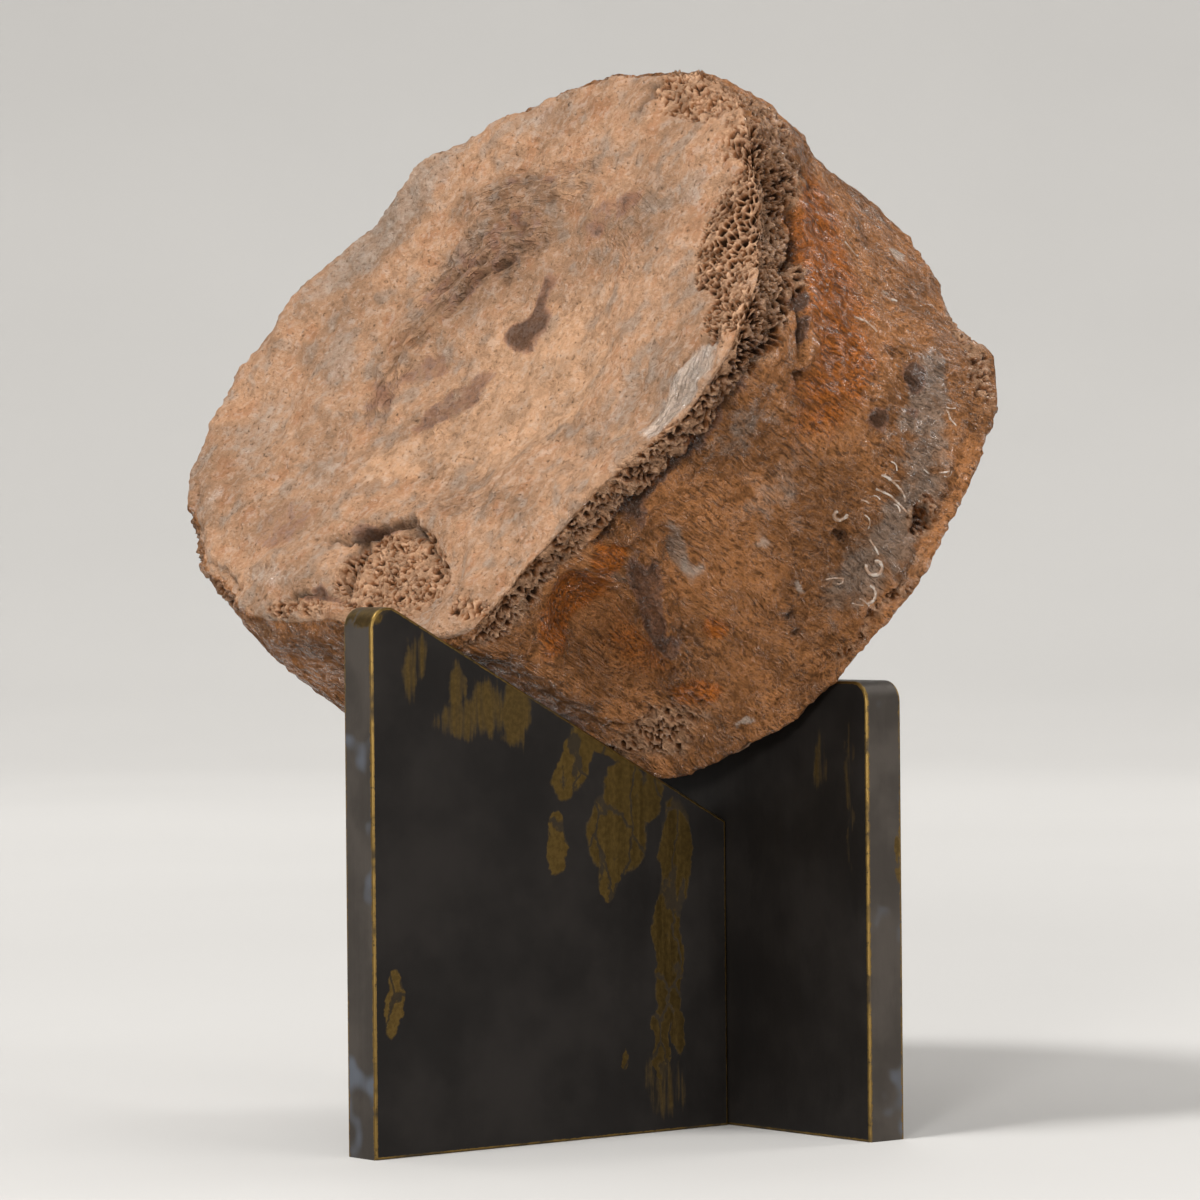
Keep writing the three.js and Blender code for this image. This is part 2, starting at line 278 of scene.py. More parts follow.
# Broad hollows in the wall: an angle, a depth, how far it reaches round and along, its turn in
# degrees, and how deep it is. The holes are the same without a turn.
WALL_HOLLOWS = [
    ((-50, 25), (9.5, 18), 24, 4.0),
    ((-20, 28), (12, 14), 0, 1.2),
]
WALL_HOLES = [
    ((2.8, 19), (1.5, 2.6), 2.6),
    ((-12.3, 41.5), (1.2, 1.4), 2.2),
    ((-27, 43), (1.8, 0.9), 1.8),
    ((-28.5, 46.5), (2.0, 1.0), 1.8),
    ((3, 37), (1.6, 2.0), 0.9),
    ((11.5, 40), (1.8, 2.0), 1.0),
    ((-5, 50.5), (3.4, 2.6), 2.2),
    ((40, 17.5), (2.0, 2.0), 1.6),
    ((-17, 17), (1.0, 1.2), 0.8),
    ((-3, 14), (1.0, 1.2), 0.9),
    ((-46, 45), (1.2, 1.0), 1.2),
    ((-60, 40), (2.0, 1.4), 1.6),
    ((230, 20), (1.6, 2.4), 2.0),
    ((112, 24), (1.8, 2.6), 2.4),
    ((133, 30), (1.6, 2.4), 2.2),
    ((282, 33), (1.4, 2.4), 1.8),
]

# Curly worm tubes: an angle, a depth, the heading in degrees, the curl in degrees a millimetre,
# the length and the diameter. The thicket's are drawn at random, headings and curls round a mean.
WORM_TUBES = [
    ((17, 27.5), 70, 14, 5, 0.5),
    ((33, 27), 110, -8, 4, 0.5),
    ((26, 37), 40, 30, 2, 0.6),
    ((-10, 39.5), 150, 60, 4, 0.75),
    ((-3, 41), 80, 7, 7, 0.5),
    ((-5, 41.5), 76, 6, 7, 0.5),
    ((-13.5, 47.5), 60, 50, 6, 0.75),
    ((-16.5, 49.5), 80, 40, 4, 0.65),
]
THICKET_COUNT = 18
THICKET_ANGLES = (-20, 14)
THICKET_DEPTHS = (40, 51)
THICKET_HEADINGS = (95, 35)
THICKET_CURLS = (0, 34)
THICKET_LENGTHS = (1.0, 3)
THICKET_WIDTHS = (0.25, 0.42)
TUBE_STEP = 0.4
TUBE_SINK = 0.12


class StageSettings(bpy.types.PropertyGroup):
    """The floor, the lights and the camera"""
    floor_colour: FloatVectorProperty(
        name="Floor", description="Colour of the floor and of the sweep behind it",
        subtype="COLOR", size=3, min=0, max=1, default=(0.43, 0.418, 0.40))
    floor_radius: FloatProperty(
        name="Floor Radius", description="Where the floor starts to sweep upward",
        default=1.6, unit="LENGTH")
    key_power: FloatProperty(
        name="Key Power", description="Power of the large light at the upper left",
        default=18.5, unit="POWER")
    front_power: FloatProperty(
        name="Front Power", description="Power of the low light at the front left",
        default=12.0, unit="POWER")
    fill_power: FloatProperty(
        name="Fill Power", description="Power of the light at the right",
        default=6.0, unit="POWER")
    rim_power: FloatProperty(
        name="Rim Power", description="Power of the light that glints on the wall from the right",
        default=3.5, unit="POWER")
    backdrop_power: FloatProperty(
        name="Backdrop Power", description="Power of each light on the sweep behind the floor",
        default=24.0, unit="POWER")
    focal_length: FloatProperty(
        name="Focal Length", description="The lens, for a sensor 36 mm wide",
        default=150.0)
    camera_pitch: FloatProperty(
        name="Camera Pitch", description="How far the camera looks down",
        default=radians(0.41), subtype="ANGLE")
    camera_roll: FloatProperty(
        name="Camera Roll", description="How far the camera is rolled",
        default=radians(-0.53), subtype="ANGLE")


class BoneSettings(bpy.types.PropertyGroup):
    """The fossil bone's surface"""
    tan: FloatVectorProperty(
        name="Face Tan", description="Dry worn face of the bone",
        subtype="COLOR", size=3, min=0, max=1, default=(0.42, 0.24, 0.138))
    ochre: FloatVectorProperty(
        name="Ochre", description="Iron stain on the face",
        subtype="COLOR", size=3, min=0, max=1, default=(0.50, 0.29, 0.165))
    brown: FloatVectorProperty(
        name="Wall Brown", description="Fibrous wall of the bone",
        subtype="COLOR", size=3, min=0, max=1, default=(0.30, 0.126, 0.045))
    # Rust also tints the painted shade in shallow pores, and the painted light and shade along the wall's
    # fibres
    rust: FloatVectorProperty(
        name="Rust", description="Iron stain on the wall",
        subtype="COLOR", size=3, min=0, max=1, default=(0.34, 0.095, 0.012))
    # Umber also paints shade into pores, pits, slits, folds, cracks and holes
    umber: FloatVectorProperty(
        name="Umber", description="Dark stains and the bottoms of pores",
        subtype="COLOR", size=3, min=0, max=1, default=(0.040, 0.020, 0.011))
    plum: FloatVectorProperty(
        name="Plum", description="Soft purple-brown stains",
        subtype="COLOR", size=3, min=0, max=1, default=(0.21, 0.105, 0.068))
    slate: FloatVectorProperty(
        name="Slate", description="Grey mineral stain",
        subtype="COLOR", size=3, min=0, max=1, default=(0.22, 0.18, 0.145))
    # Chalk also paints the highlight on the glossy facet and on the face's grain crests
    chalk: FloatVectorProperty(
        name="Chalk", description="Pale polished bone and worm tubes",
        subtype="COLOR", size=3, min=0, max=1, default=(0.64, 0.54, 0.45))
    pore_size: FloatProperty(
        name="Pore Size", description="Spacing of the large pores of the spongy bone",
        default=1.45 * MM, unit="LENGTH")
    pore_depth: FloatProperty(
        name="Pore Depth", description="Depth of the large pores",
        default=2.0 * MM, unit="LENGTH")
    crumb_size: FloatProperty(
        name="Crumb Size", description="Size of the lumps and pits of crumbled bone",
        default=1.15 * MM, unit="LENGTH")
    crumb_depth: FloatProperty(
        name="Crumb Depth", description="Depth of the pits of crumbled bone",
        default=1.25 * MM, unit="LENGTH")
    fibre_width: FloatProperty(
        name="Fibre Width", description="Width of the fibres along the wall",
        default=1.4 * MM, unit="LENGTH")
    fibre_height: FloatProperty(
        name="Fibre Height", description="Height of the fibres along the wall",
        default=1.2 * MM, unit="LENGTH")
    seed: IntProperty(name="Seed", description="Picks another weathering", default=7)


class StandSettings(bpy.types.PropertyGroup):
    """The two patinated brass plates"""
    patina: FloatVectorProperty(
        name="Patina", description="Blackened brass",
        subtype="COLOR", size=3, min=0, max=1, default=(0.008, 0.0068, 0.006))
    satin: FloatVectorProperty(
        name="Satin", description="Lighter worn patina on the plates' narrow sides",
        subtype="COLOR", size=3, min=0, max=1, default=(0.048, 0.041, 0.035))
    brass: FloatVectorProperty(
        name="Brass", description="Brass where the patina is rubbed through",
        subtype="COLOR", size=3, min=0, max=1, default=(0.105, 0.066, 0.020))
    edge_radius: FloatProperty(
        name="Edge Radius", description="Rounding of the plates' edges",
        default=0.4 * MM, unit="LENGTH")
    rub_width: FloatProperty(
        name="Rub Width", description="Width of the rubbed line along the edges",
        default=0.3 * MM, unit="LENGTH")


class Tree:
    """Adds nodes to a node tree, one call for each, and joins them as it goes"""

    def __init__(self, tree):
        self.tree = tree

    def add(self, kind, inputs=None, out=0, **settings):
        node = self.tree.nodes.new(kind)
        for name, value in settings.items():
            setattr(node, name, value)
        for key, value in (inputs or {}).items():
            self.join(value, node.inputs[key])
        return node.outputs[out]

    def join(self, value, socket):
        if isinstance(value, bpy.types.NodeSocket):
            self.tree.links.new(value, socket)
        elif socket.type == "RGBA":
            socket.default_value = (*value, 1)
        else:
            socket.default_value = value

    def math(self, operation, a, b=0.0, clamp=False):
        return self.add("ShaderNodeMath", {0: a, 1: b}, operation=operation, use_clamp=clamp)

    def vector(self, operation, a, b=(0, 0, 0)):
        return self.add("ShaderNodeVectorMath", {0: a, 1: b}, operation=operation)

    def scaled(self, vector, factor):
        return self.add("ShaderNodeVectorMath", {0: vector, "Scale": factor}, operation="SCALE")

    def ramp(self, value, low, high, to_low=0.0, to_high=1.0):
        return self.add(
            "ShaderNodeMapRange", {0: value, 1: low, 2: high, 3: to_low, 4: to_high},
            interpolation_type="SMOOTHSTEP")

    def noise(self, vector, scale, detail=2.0, rough=0.5, out=0):
        return self.add(
            "ShaderNodeTexNoise",
            {"Vector": vector, "Scale": scale, "Detail": detail, "Roughness": rough}, out)

    def edges(self, vector, scale):
        return self.add(
            "ShaderNodeTexVoronoi", {"Vector": vector, "Scale": scale},
            feature="DISTANCE_TO_EDGE")

    def mix(self, share, a, b):
        node = self.tree.nodes.new("ShaderNodeMix")
        node.data_type = "RGBA"
        for value, socket in ((share, 0), (a, 6), (b, 7)):
            self.join(value, node.inputs[socket])
        return node.outputs[2]

    def stretched(self, vector, scale):
        return self.vector("MULTIPLY", vector, scale)

    def attribute(self, name, out=2):
        """An attribute in a material: a number, or a vector where out is 1"""
        return self.add("ShaderNodeAttribute", out=out, attribute_name=name)

    def stored(self, name, kind="FLOAT"):
        """An attribute in geometry nodes"""
        return self.add("GeometryNodeInputNamedAttribute", {"Name": name}, data_type=kind)


def new_material(name):
    """A node material and its tree, with the Principled shader's inputs by name"""
    material = bpy.data.materials.new(name)
    material.use_nodes = True
    tree = Tree(material.node_tree)
    shader = material.node_tree.nodes["Principled BSDF"]
    return material, tree, shader.inputs


def add_relief(tree, shader, height, distance, strength=1.0):
    """Bump on a material, its distance in millimetres"""
    bump = tree.add(
        "ShaderNodeBump", {"Height": height, "Distance": distance * MM, "Strength": strength})
    tree.join(bump, shader["Normal"])


def shaded(colour, factor):
    """The colour, darker or lighter"""
    return tuple(min(1.0, part * factor) for part in colour)


def new_object(name, mesh, material=None):
    piece = bpy.data.objects.new(name, mesh)
    bpy.context.collection.objects.link(piece)
    if material:
        mesh.materials.append(material)
    return piece


def mesh_from(name, points, faces):
    mesh = bpy.data.meshes.new(name)
    mesh.from_pydata([tuple(point) for point in points], [], faces)
    mesh.update()
    return mesh


def baked(piece):
    """The piece's mesh with its modifiers applied, put back on it, and the modifiers removed"""
    depsgraph = bpy.context.evaluated_depsgraph_get()
    done = bpy.data.meshes.new_from_object(piece.evaluated_get(depsgraph))
    piece.modifiers.clear()
    old, piece.data = piece.data, done
    bpy.data.meshes.remove(old)
    done.name = piece.name
    return piece


def new_group(name, inputs):
    """A tree of geometry nodes with named inputs, and the sockets that give their values"""
    group = bpy.data.node_groups.new(name, "GeometryNodeTree")
    for label, kind in {"Geometry": "Geometry", **inputs}.items():
        group.interface.new_socket(label, in_out="INPUT", socket_type="NodeSocket" + kind)
    group.interface.new_socket("Geometry", in_out="OUTPUT", socket_type="NodeSocketGeometry")
    return Tree(group), group.nodes.new("NodeGroupInput").outputs


def finished_group(tree, geometry, material):
    """The tree's group, ended with plain geometry in the material"""
    plain = tree.add("GeometryNodeRealizeInstances", {"Geometry": geometry})
    dressed = tree.add("GeometryNodeSetMaterial", {"Geometry": plain, "Material": material})
    tree.join(dressed, tree.tree.nodes.new("NodeGroupOutput").inputs[0])
    return tree.tree


def grown(piece, group, values):
    """The piece made by a group of geometry nodes, whose inputs are set by their identifiers"""
    modifier = piece.modifiers.new(group.name, "NODES")
    modifier.node_group = group
    for socket in group.interface.items_tree:
        if socket.in_out == "INPUT" and socket.name in values:
            modifier[socket.identifier] = values[socket.name]
    return baked(piece)


def lofted(rings):
    """Points and faces of a skin over closed rings of points, its two ends open"""
    count = len(rings[0])
    faces = []
    for j in range(len(rings) - 1):
        for i in range(count):
            here, following = j * count + i, j * count + (i + 1) % count
            faces.append([here, here + count, following + count, following])
    return [point for ring in rings for point in ring], faces


def coordinates(mesh):
    flat = np.empty(len(mesh.vertices) * 3)
    mesh.vertices.foreach_get("co", flat)
    return flat.reshape(-1, 3)


def normals(mesh):
    flat = np.empty(len(mesh.vertices) * 3)
    mesh.vertex_normals.foreach_get("vector", flat)
    return flat.reshape(-1, 3)


def write_attribute(mesh, name, values, kind="FLOAT", key="value"):
    layer = mesh.attributes.get(name) or mesh.attributes.new(name, kind, "POINT")
    layer.data.foreach_set(key, np.ascontiguousarray(values, dtype=np.float32).ravel())


def read_vectors(mesh, name):
    flat = np.empty(len(mesh.vertices) * 3, dtype=np.float32)
    mesh.attributes[name].data.foreach_get("vector", flat)
    return flat.reshape(-1, 3).astype(float)


def read_values(mesh, name):
    values = np.empty(len(mesh.vertices), dtype=np.float32)
    mesh.attributes[name].data.foreach_get("value", values)
    return values


def move_to(mesh, points):
    mesh.vertices.foreach_set("co", points.ravel())
    mesh.update()


def smoothstep(values, low, high):
    share = np.clip((values - low) / (high - low), 0, 1)
    return share * share * (3 - 2 * share)


def grid_numbers(cell, seed):
    """Repeatable numbers from 0 to 1 for the points of a whole-number grid"""
    mixed = np.sin(cell @ np.array([127.1, 311.7, 74.7]) + seed * 19.19) * 43758.5453
    return mixed - np.floor(mixed)


def smooth_noise(points, size, seed):
    """Smooth lumps about one size across, from -1 to 1"""
    scaled = points / size
    cell = np.floor(scaled)
    f = scaled - cell
    f = f * f * (3 - 2 * f)
    total = np.zeros(len(points))
    for corner in np.ndindex(2, 2, 2):
        weight = np.prod(np.where(corner, f, 1 - f), axis=1)
        total += weight * grid_numbers(cell + corner, seed)
    return 2 * total - 1


def fractal(points, size, seed, octaves=3):
    return sum(smooth_noise(points, size / 2**i, seed + i) / 2**i for i in range(octaves))


def ridged(points, size, seed, octaves=3):
    """Sharp crests about one size apart, from 0 to 1"""
    crests = [1 - np.abs(smooth_noise(points, size / 2**i, seed + i)) for i in range(octaves)]
    return sum(crest / 2**i for i, crest in enumerate(crests)) / (2 - 0.5 ** (octaves - 1))


def wander(points, size, seeds, octaves=3):
    """A smooth shift for each point, from a seed for each axis"""
    return np.stack([fractal(points, size, seed, octaves) for seed in seeds], axis=1)


def terraced(values, steps):
    """The values pressed into level flakes with steep edges between them"""
    scaled = values * steps
    level = np.floor(scaled)
    return (level + smoothstep(scaled - level, 0.62, 1.0)) / steps


def bone_points(mesh):
    """The mesh's vertices in the bone's own frame, in millimetres"""
    inverse = np.array(BONE_FRAME.inverted())
    return (coordinates(mesh) @ inverse[:3, :3].T + inverse[:3, 3]) / MM


def bone_normals(mesh):
    return normals(mesh) @ np.array(BONE_FRAME)[:3, :3]


def surface_places(points):
    """Each point as a place on the face, and as an angle in radians and a depth on the wall"""
    angle = np.arctan2(points[:, 1], points[:, 0])
    return points[:, :2], angle, -points[:, 2]


def wall_offset(angle, depth, at):
    turned = angle - radians(at[0])
    round_about = MEAN_RADIUS * np.arctan2(np.sin(turned), np.cos(turned))
    return np.stack([round_about, depth - at[1]], axis=1)


def region_share(offset, reach, turn, level):
    """How much of a region is at each offset from its middle, from 0 to 1"""
    c, s = cos(radians(turn)), sin(radians(turn))
    first = (offset[:, 0] * c + offset[:, 1] * s) / reach[0]
    second = (offset[:, 1] * c - offset[:, 0] * s) / reach[1]
    return 1 - smoothstep(np.hypot(first, second), level, 1)


def channel_values(channel, face_place, angle, depth, on_face, on_wall):
    """One channel's strength at every vertex: the strongest of its regions"""
    values = np.zeros(len(angle))
    for at, reach, turn, level, strength in FACE_REGIONS[channel]:
        share = region_share(face_place - np.array(at), reach, turn, level)
        values = np.maximum(values, strength * share * on_face)
    for at, reach, turn, level, strength in WALL_REGIONS[channel]:
        share = region_share(wall_offset(angle, depth, at), reach, turn, level)
        values = np.maximum(values, strength * share * on_wall)
    return values


def line_distance(places, line):
    """Distance of each place to a line of points, and the side of the line it is on"""
    nearest = np.full(len(places), np.inf)
    side = np.zeros(len(places))
    for start, end in zip(line[:-1], line[1:]):
        along = end - start
        share = np.clip((places - start) @ along / (along @ along), 0, 1)
        away = places - start - share[:, None] * along
        distance = np.hypot(away[:, 0], away[:, 1])
        closer = distance < nearest
        nearest = np.where(closer, distance, nearest)
        cross = along[0] * away[:, 1] - along[1] * away[:, 0]
        side = np.where(closer, np.sign(cross), side)
    return nearest, side


def crease_height(places, line, width, height, step):
    """A groove or a lip along a line, with a step that fades out on the line's right"""
    nearest, side = line_distance(places, np.array(line, dtype=float))
    groove = height * (1 - smoothstep(nearest, 0.3 * width, width))
    shelf = step * (1 - smoothstep(nearest, 0.4 * width, 5 * width)) * (side < 0)
    return groove + shelf


# The bone's relief, in millimetres. Each kind of lump is its noise, its size, its height, what is
# added to the seed, and its octaves.
LUMPS = [(fractal, 9.0, 0.40, 0, 3), (fractal, 2.8, 0.34, 5, 3), (ridged, 2.0, 0.30, 6, 2)]
FLAKE_SIZE = 14.0
FLAKE_LEVELS = 3
CHIP_SIZE = 6.5
CHIP_HEIGHT = 1.7
RIM_LOSS = 1.5
CREASE_FADE_SIZE = 4.5
CRACK_DEPTHS = (0.4, 1.6)
FOLD_DEPTHS = (-0.1, 0.6)


def shaped_height(points, on_face, on_wall, on_rim, wrinkle, seed):
    """Height in millimetres at every vertex, and the painted shade it gets for lying deep in a crack, hole
    or fold
    """
    warp = wander(points, 4.0, (seed + 11, seed + 23, seed + 37), 4)
    face_place, angle, depth = surface_places(points + warp)
    lumps = sum(
        rise * noise(points, size, seed + shift, octaves)
        for noise, size, rise, shift, octaves in LUMPS)
    flakes = terraced(fractal(points, FLAKE_SIZE, seed + 9, 4), FLAKE_LEVELS)
    worn_rim = on_rim * (CHIP_HEIGHT * ridged(points, CHIP_SIZE, seed + 13) - RIM_LOSS)
    marks = np.zeros(len(points))
    for line, width, rise, step in FACE_CREASES:
        marks += on_face * crease_height(face_place, line, width, rise, step)
    wall_place = np.stack([MEAN_RADIUS * angle, depth], axis=1)
    for line, width, rise, step in WALL_CREASES:
        route = [(MEAN_RADIUS * radians(at), down) for at, down in line]
        marks += on_wall * crease_height(wall_place, route, width, rise, step)
    marks *= np.clip(0.75 + 0.7 * fractal(points, CREASE_FADE_SIZE, seed + 17), 0.15, 1.3)
    for at, reach, down in WALL_HOLES:
        marks -= down * on_wall * region_share(wall_offset(angle, depth, at), reach, 0, 0.2)
    hollows = sum(
        down * region_share(wall_offset(angle, depth, at), reach, turn, 0.1)
        for at, reach, turn, down in WALL_HOLLOWS)
    folds = fold_height(points, on_wall, seed)
    height = lumps + flakes + worn_rim + marks - on_wall * hollows + wrinkle * folds
    # Painted shade: the colour is darkened where the surface lies deep in a crack, hole or fold
    cavity = smoothstep(-marks, *CRACK_DEPTHS) + 0.4 * wrinkle * smoothstep(-folds, *FOLD_DEPTHS)
    return height, np.clip(cavity, 0, 1)


def ring_places(points):
    """Each point's place outward from the dish's middle and round it, in millimetres"""
    across, up = points[:, 0] - DISH_MIDDLE[0], points[:, 1] - DISH_MIDDLE[1]
    out = np.hypot(across / DISH_REACH[0], up / DISH_REACH[1]) * DISH_REACH[1]
    turned = np.arctan2(up, across) - DISH_SEAM
    turned = np.arctan2(-np.sin(turned), -np.cos(turned))
    return np.stack([out, turned * DISH_REACH[1], points[:, 2]], axis=1)


def write_places(mesh, points):
    """Stores each vertex's bone coordinates and its place round the dish"""
    write_attribute(mesh, "bone_point", points, "FLOAT_VECTOR", "vector")
    write_attribute(mesh, "ring_point", ring_places(points), "FLOAT_VECTOR", "vector")


FACE_FOLD_WIDTH = 1.4
FACE_FOLD_LENGTH = 6.0
WALL_FOLD_WIDTH = 2.2
WALL_FOLD_LENGTH = 9.0


def fold_height(points, on_wall, seed):
    """Folds that run round the dish on the face and along the bone on the wall"""
    ring = ring_places(points) * np.array([1 / FACE_FOLD_WIDTH, 1 / FACE_FOLD_LENGTH, 0])
    fibre = points * np.array([1 / WALL_FOLD_WIDTH, 1 / WALL_FOLD_WIDTH, 1 / WALL_FOLD_LENGTH])
    place = np.where(on_wall[:, None] > 0.5, fibre, ring)
    place = place + 0.35 * wander(points, 4.0, (seed + 41, seed + 43, seed + 47))
    flakes = 0.8 * terraced(fractal(place, 1.0, seed + 3, 2), 2)
    return flakes + 0.8 * ridged(place, 1.0, seed + 8, 2) - 0.5


def plate_gap(points):
    """About how far each point is from the nearer plate, in millimetres, 0 inside one"""
    inverse = np.array(STAND_FRAME.inverted())
    along, across, up = (points @ inverse[:3, :3].T / MM).T
    half = PLATE_THICKNESS / 2
    slope = (FRONT_PLATE_END_HEIGHT - FRONT_PLATE_LOW_HEIGHT) / (FRONT_PLATE_START - FRONT_PLATE_END)
    over_slope = (up - FRONT_PLATE_LOW_HEIGHT - slope * (FRONT_PLATE_START - along)) / hypot(1, slope)
    front = [FRONT_PLATE_END - along, along - FRONT_PLATE_START, np.abs(across) - half, over_slope]
    low, high = REAR_PLATE_SPAN
    rear = [low - across, across - high, np.abs(along) - half, up - REAR_PLATE_HEIGHT]
    gaps = [np.linalg.norm(np.maximum(np.stack(sides), 0), axis=0) for sides in (front, rear)]
    return np.minimum(*gaps)


def fine_copy(node, name, levels):
    """A copy of a node's mesh, welded, its triangles paired into squares and subdivided"""
    bm = bmesh.new()
    bm.from_mesh(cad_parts[node].data)
    bmesh.ops.remove_doubles(bm, verts=bm.verts, dist=0.001 * MM)
    bmesh.ops.join_triangles(
        bm, faces=bm.faces, angle_face_threshold=radians(60), angle_shape_threshold=radians(60))
    points = [vertex.co.copy() for vertex in bm.verts]
    faces = [[vertex.index for vertex in face.verts] for face in bm.faces]
    bm.free()
    piece = new_object(name, mesh_from(name, points, faces))
    subdivision = piece.modifiers.new("fine", "SUBSURF")
    subdivision.levels = subdivision.render_levels = levels
    return baked(piece)


def softened_normals(mesh, rounds):
    """The mesh's normals, each averaged with its neighbours' a number of times"""
    edges = np.empty(len(mesh.edges) * 2, dtype=np.int32)
    mesh.edges.foreach_get("vertices", edges)
    first, second = edges[0::2], edges[1::2]
    count = len(mesh.vertices)
    soft = normals(mesh)
    for _ in range(rounds):
        soft = np.stack([
            part + np.bincount(first, part[second], count) + np.bincount(second, part[first], count)
            for part in soft.T], axis=1)
        soft /= np.linalg.norm(soft, axis=1)[:, None]
    return soft


def refine(mesh, chosen):
    """Splits the faces whose vertices are all chosen into four"""
    bm = bmesh.new()
    bm.from_mesh(mesh)
    bm.verts.ensure_lookup_table()
    edges = {
        edge for face in bm.faces
        if all(chosen[vertex.index] for vertex in face.verts) for edge in face.edges}
    edges = sorted(edges, key=lambda edge: edge.index)
    bmesh.ops.subdivide_edges(bm, edges=edges, cuts=1, use_grid_fill=True)
    bmesh.ops.triangulate(bm, faces=[face for face in bm.faces if len(face.verts) > 4])
    bm.to_mesh(mesh)
    bm.free()


CRUMB_SHADE = 0.68
OPEN_LUMP_HEIGHT = 4.0
SWAY = 4.0


def weathering_tree(material):
    """Geometry nodes that open the pores of spongy bone and raise the fibres of the wall"""
    sizes = ("Pore Size", "Pore Depth", "Crumb Size", "Crumb Depth", "Fibre Width", "Fibre Height")
    tree, given = new_group("weathering", {**dict.fromkeys(sizes, "Float"), "Seed": "Int"})
    shift = tree.scaled(SEED_STEPS, given["Seed"])
    place = tree.vector("ADD", tree.stored("bone_point", "FLOAT_VECTOR"), shift)
    spongy = broken(tree, tree.stored("spongy"), place)
    crumbly = broken(tree, tree.stored("crumbly"), place)
    pore = pore_depth(tree, place, tree.math("DIVIDE", MM, given["Pore Size"]))
    crumb = pore_depth(tree, place, tree.math("DIVIDE", MM, given["Crumb Size"]))
    crumb = tree.math("MULTIPLY", crumb, tree.ramp(tree.noise(place, 0.5, 2.0), 0.34, 0.52))
    pitted = tree.math("MULTIPLY", pore, spongy)
    crumbled = tree.math("MULTIPLY", crumb, crumbly)
    crumb_shade = tree.math("MULTIPLY", crumbled, CRUMB_SHADE)
    lumps = tree.math("SUBTRACT", tree.noise(place, 0.4, 4.0, 0.6), 0.5)
    fibre_scale = tree.math("DIVIDE", MM, given["Fibre Width"])
    fibre = tree.noise(tree.stretched(place, (1, 1, 0.16)), fibre_scale, 2.0)
    fibre = tree.math("MULTIPLY", tree.math("SUBTRACT", fibre, 0.5), tree.stored("wall"))
    open_bone = tree.math("MAXIMUM", spongy, crumbly)
    # Painted shade for the low lumps of open bone, stored with the pores below
    sunk = tree.math("MULTIPLY", tree.ramp(lumps, -0.06, -0.2), tree.math("MULTIPLY", open_bone, 0.45))
    lump_height = tree.math("SUBTRACT", open_bone, tree.math("MULTIPLY", spongy, 0.55))
    lump_height = tree.math("MULTIPLY", lump_height, OPEN_LUMP_HEIGHT * MM)
    height = tree.math("MULTIPLY", lumps, lump_height)
    height = tree.math("SUBTRACT", height, tree.math("MULTIPLY", pitted, given["Pore Depth"]))
    height = tree.math("SUBTRACT", height, tree.math("MULTIPLY", crumbled, given["Crumb Depth"]))
    height = tree.math("ADD", height, tree.math("MULTIPLY", fibre, given["Fibre Height"]))
    # hollow holds where the material paints shade: pore bottoms, crumb pits and low lumps
    stored = {
        "open_bone": open_bone,
        "hollow": tree.math("MAXIMUM", tree.math("MAXIMUM", pitted, crumb_shade), sunk),
        "broad": tree.noise(place, 0.055, 3.0, 0.6),
        "blotch": tree.noise(place, 0.2, 3.0, 0.65),
        "sway": tree.scaled(tree.noise(place, 0.08, 1.0, out=1), SWAY),
    }
    geometry = given["Geometry"]
    for name, value in stored.items():
        geometry = tree.add(
            "GeometryNodeStoreNamedAttribute", {"Geometry": geometry, "Name": name, "Value": value},
            data_type="FLOAT_VECTOR" if name == "sway" else "FLOAT", domain="POINT")
    outward = tree.vector("NORMALIZE", tree.stored("outward", "FLOAT_VECTOR"))
    moved = tree.add(
        "GeometryNodeSetPosition", {"Geometry": geometry, "Offset": tree.scaled(outward, height)})
    return finished_group(tree, moved, material)


def broken(tree, share, place):
    """A region's strength with its border broken up"""
    border = tree.noise(place, 0.35, 3.0)
    return tree.ramp(tree.math("ADD", share, tree.math("MULTIPLY", border, 0.6)), 0.55, 0.85)


def pore_depth(tree, place, scale):
    """From 0 on the walls between pores to 1 at their bottoms, in bone coordinates"""
    bent = tree.noise(place, 0.5, 1.0, out=1)
    bent = tree.vector("ADD", place, tree.scaled(tree.vector("SUBTRACT", bent, (0.5, 0.5, 0.5)), 1.0))
    bent = tree.stretched(bent, (1, 1, 0.72))
    return tree.ramp(tree.edges(bent, scale), 0.035, 0.17)


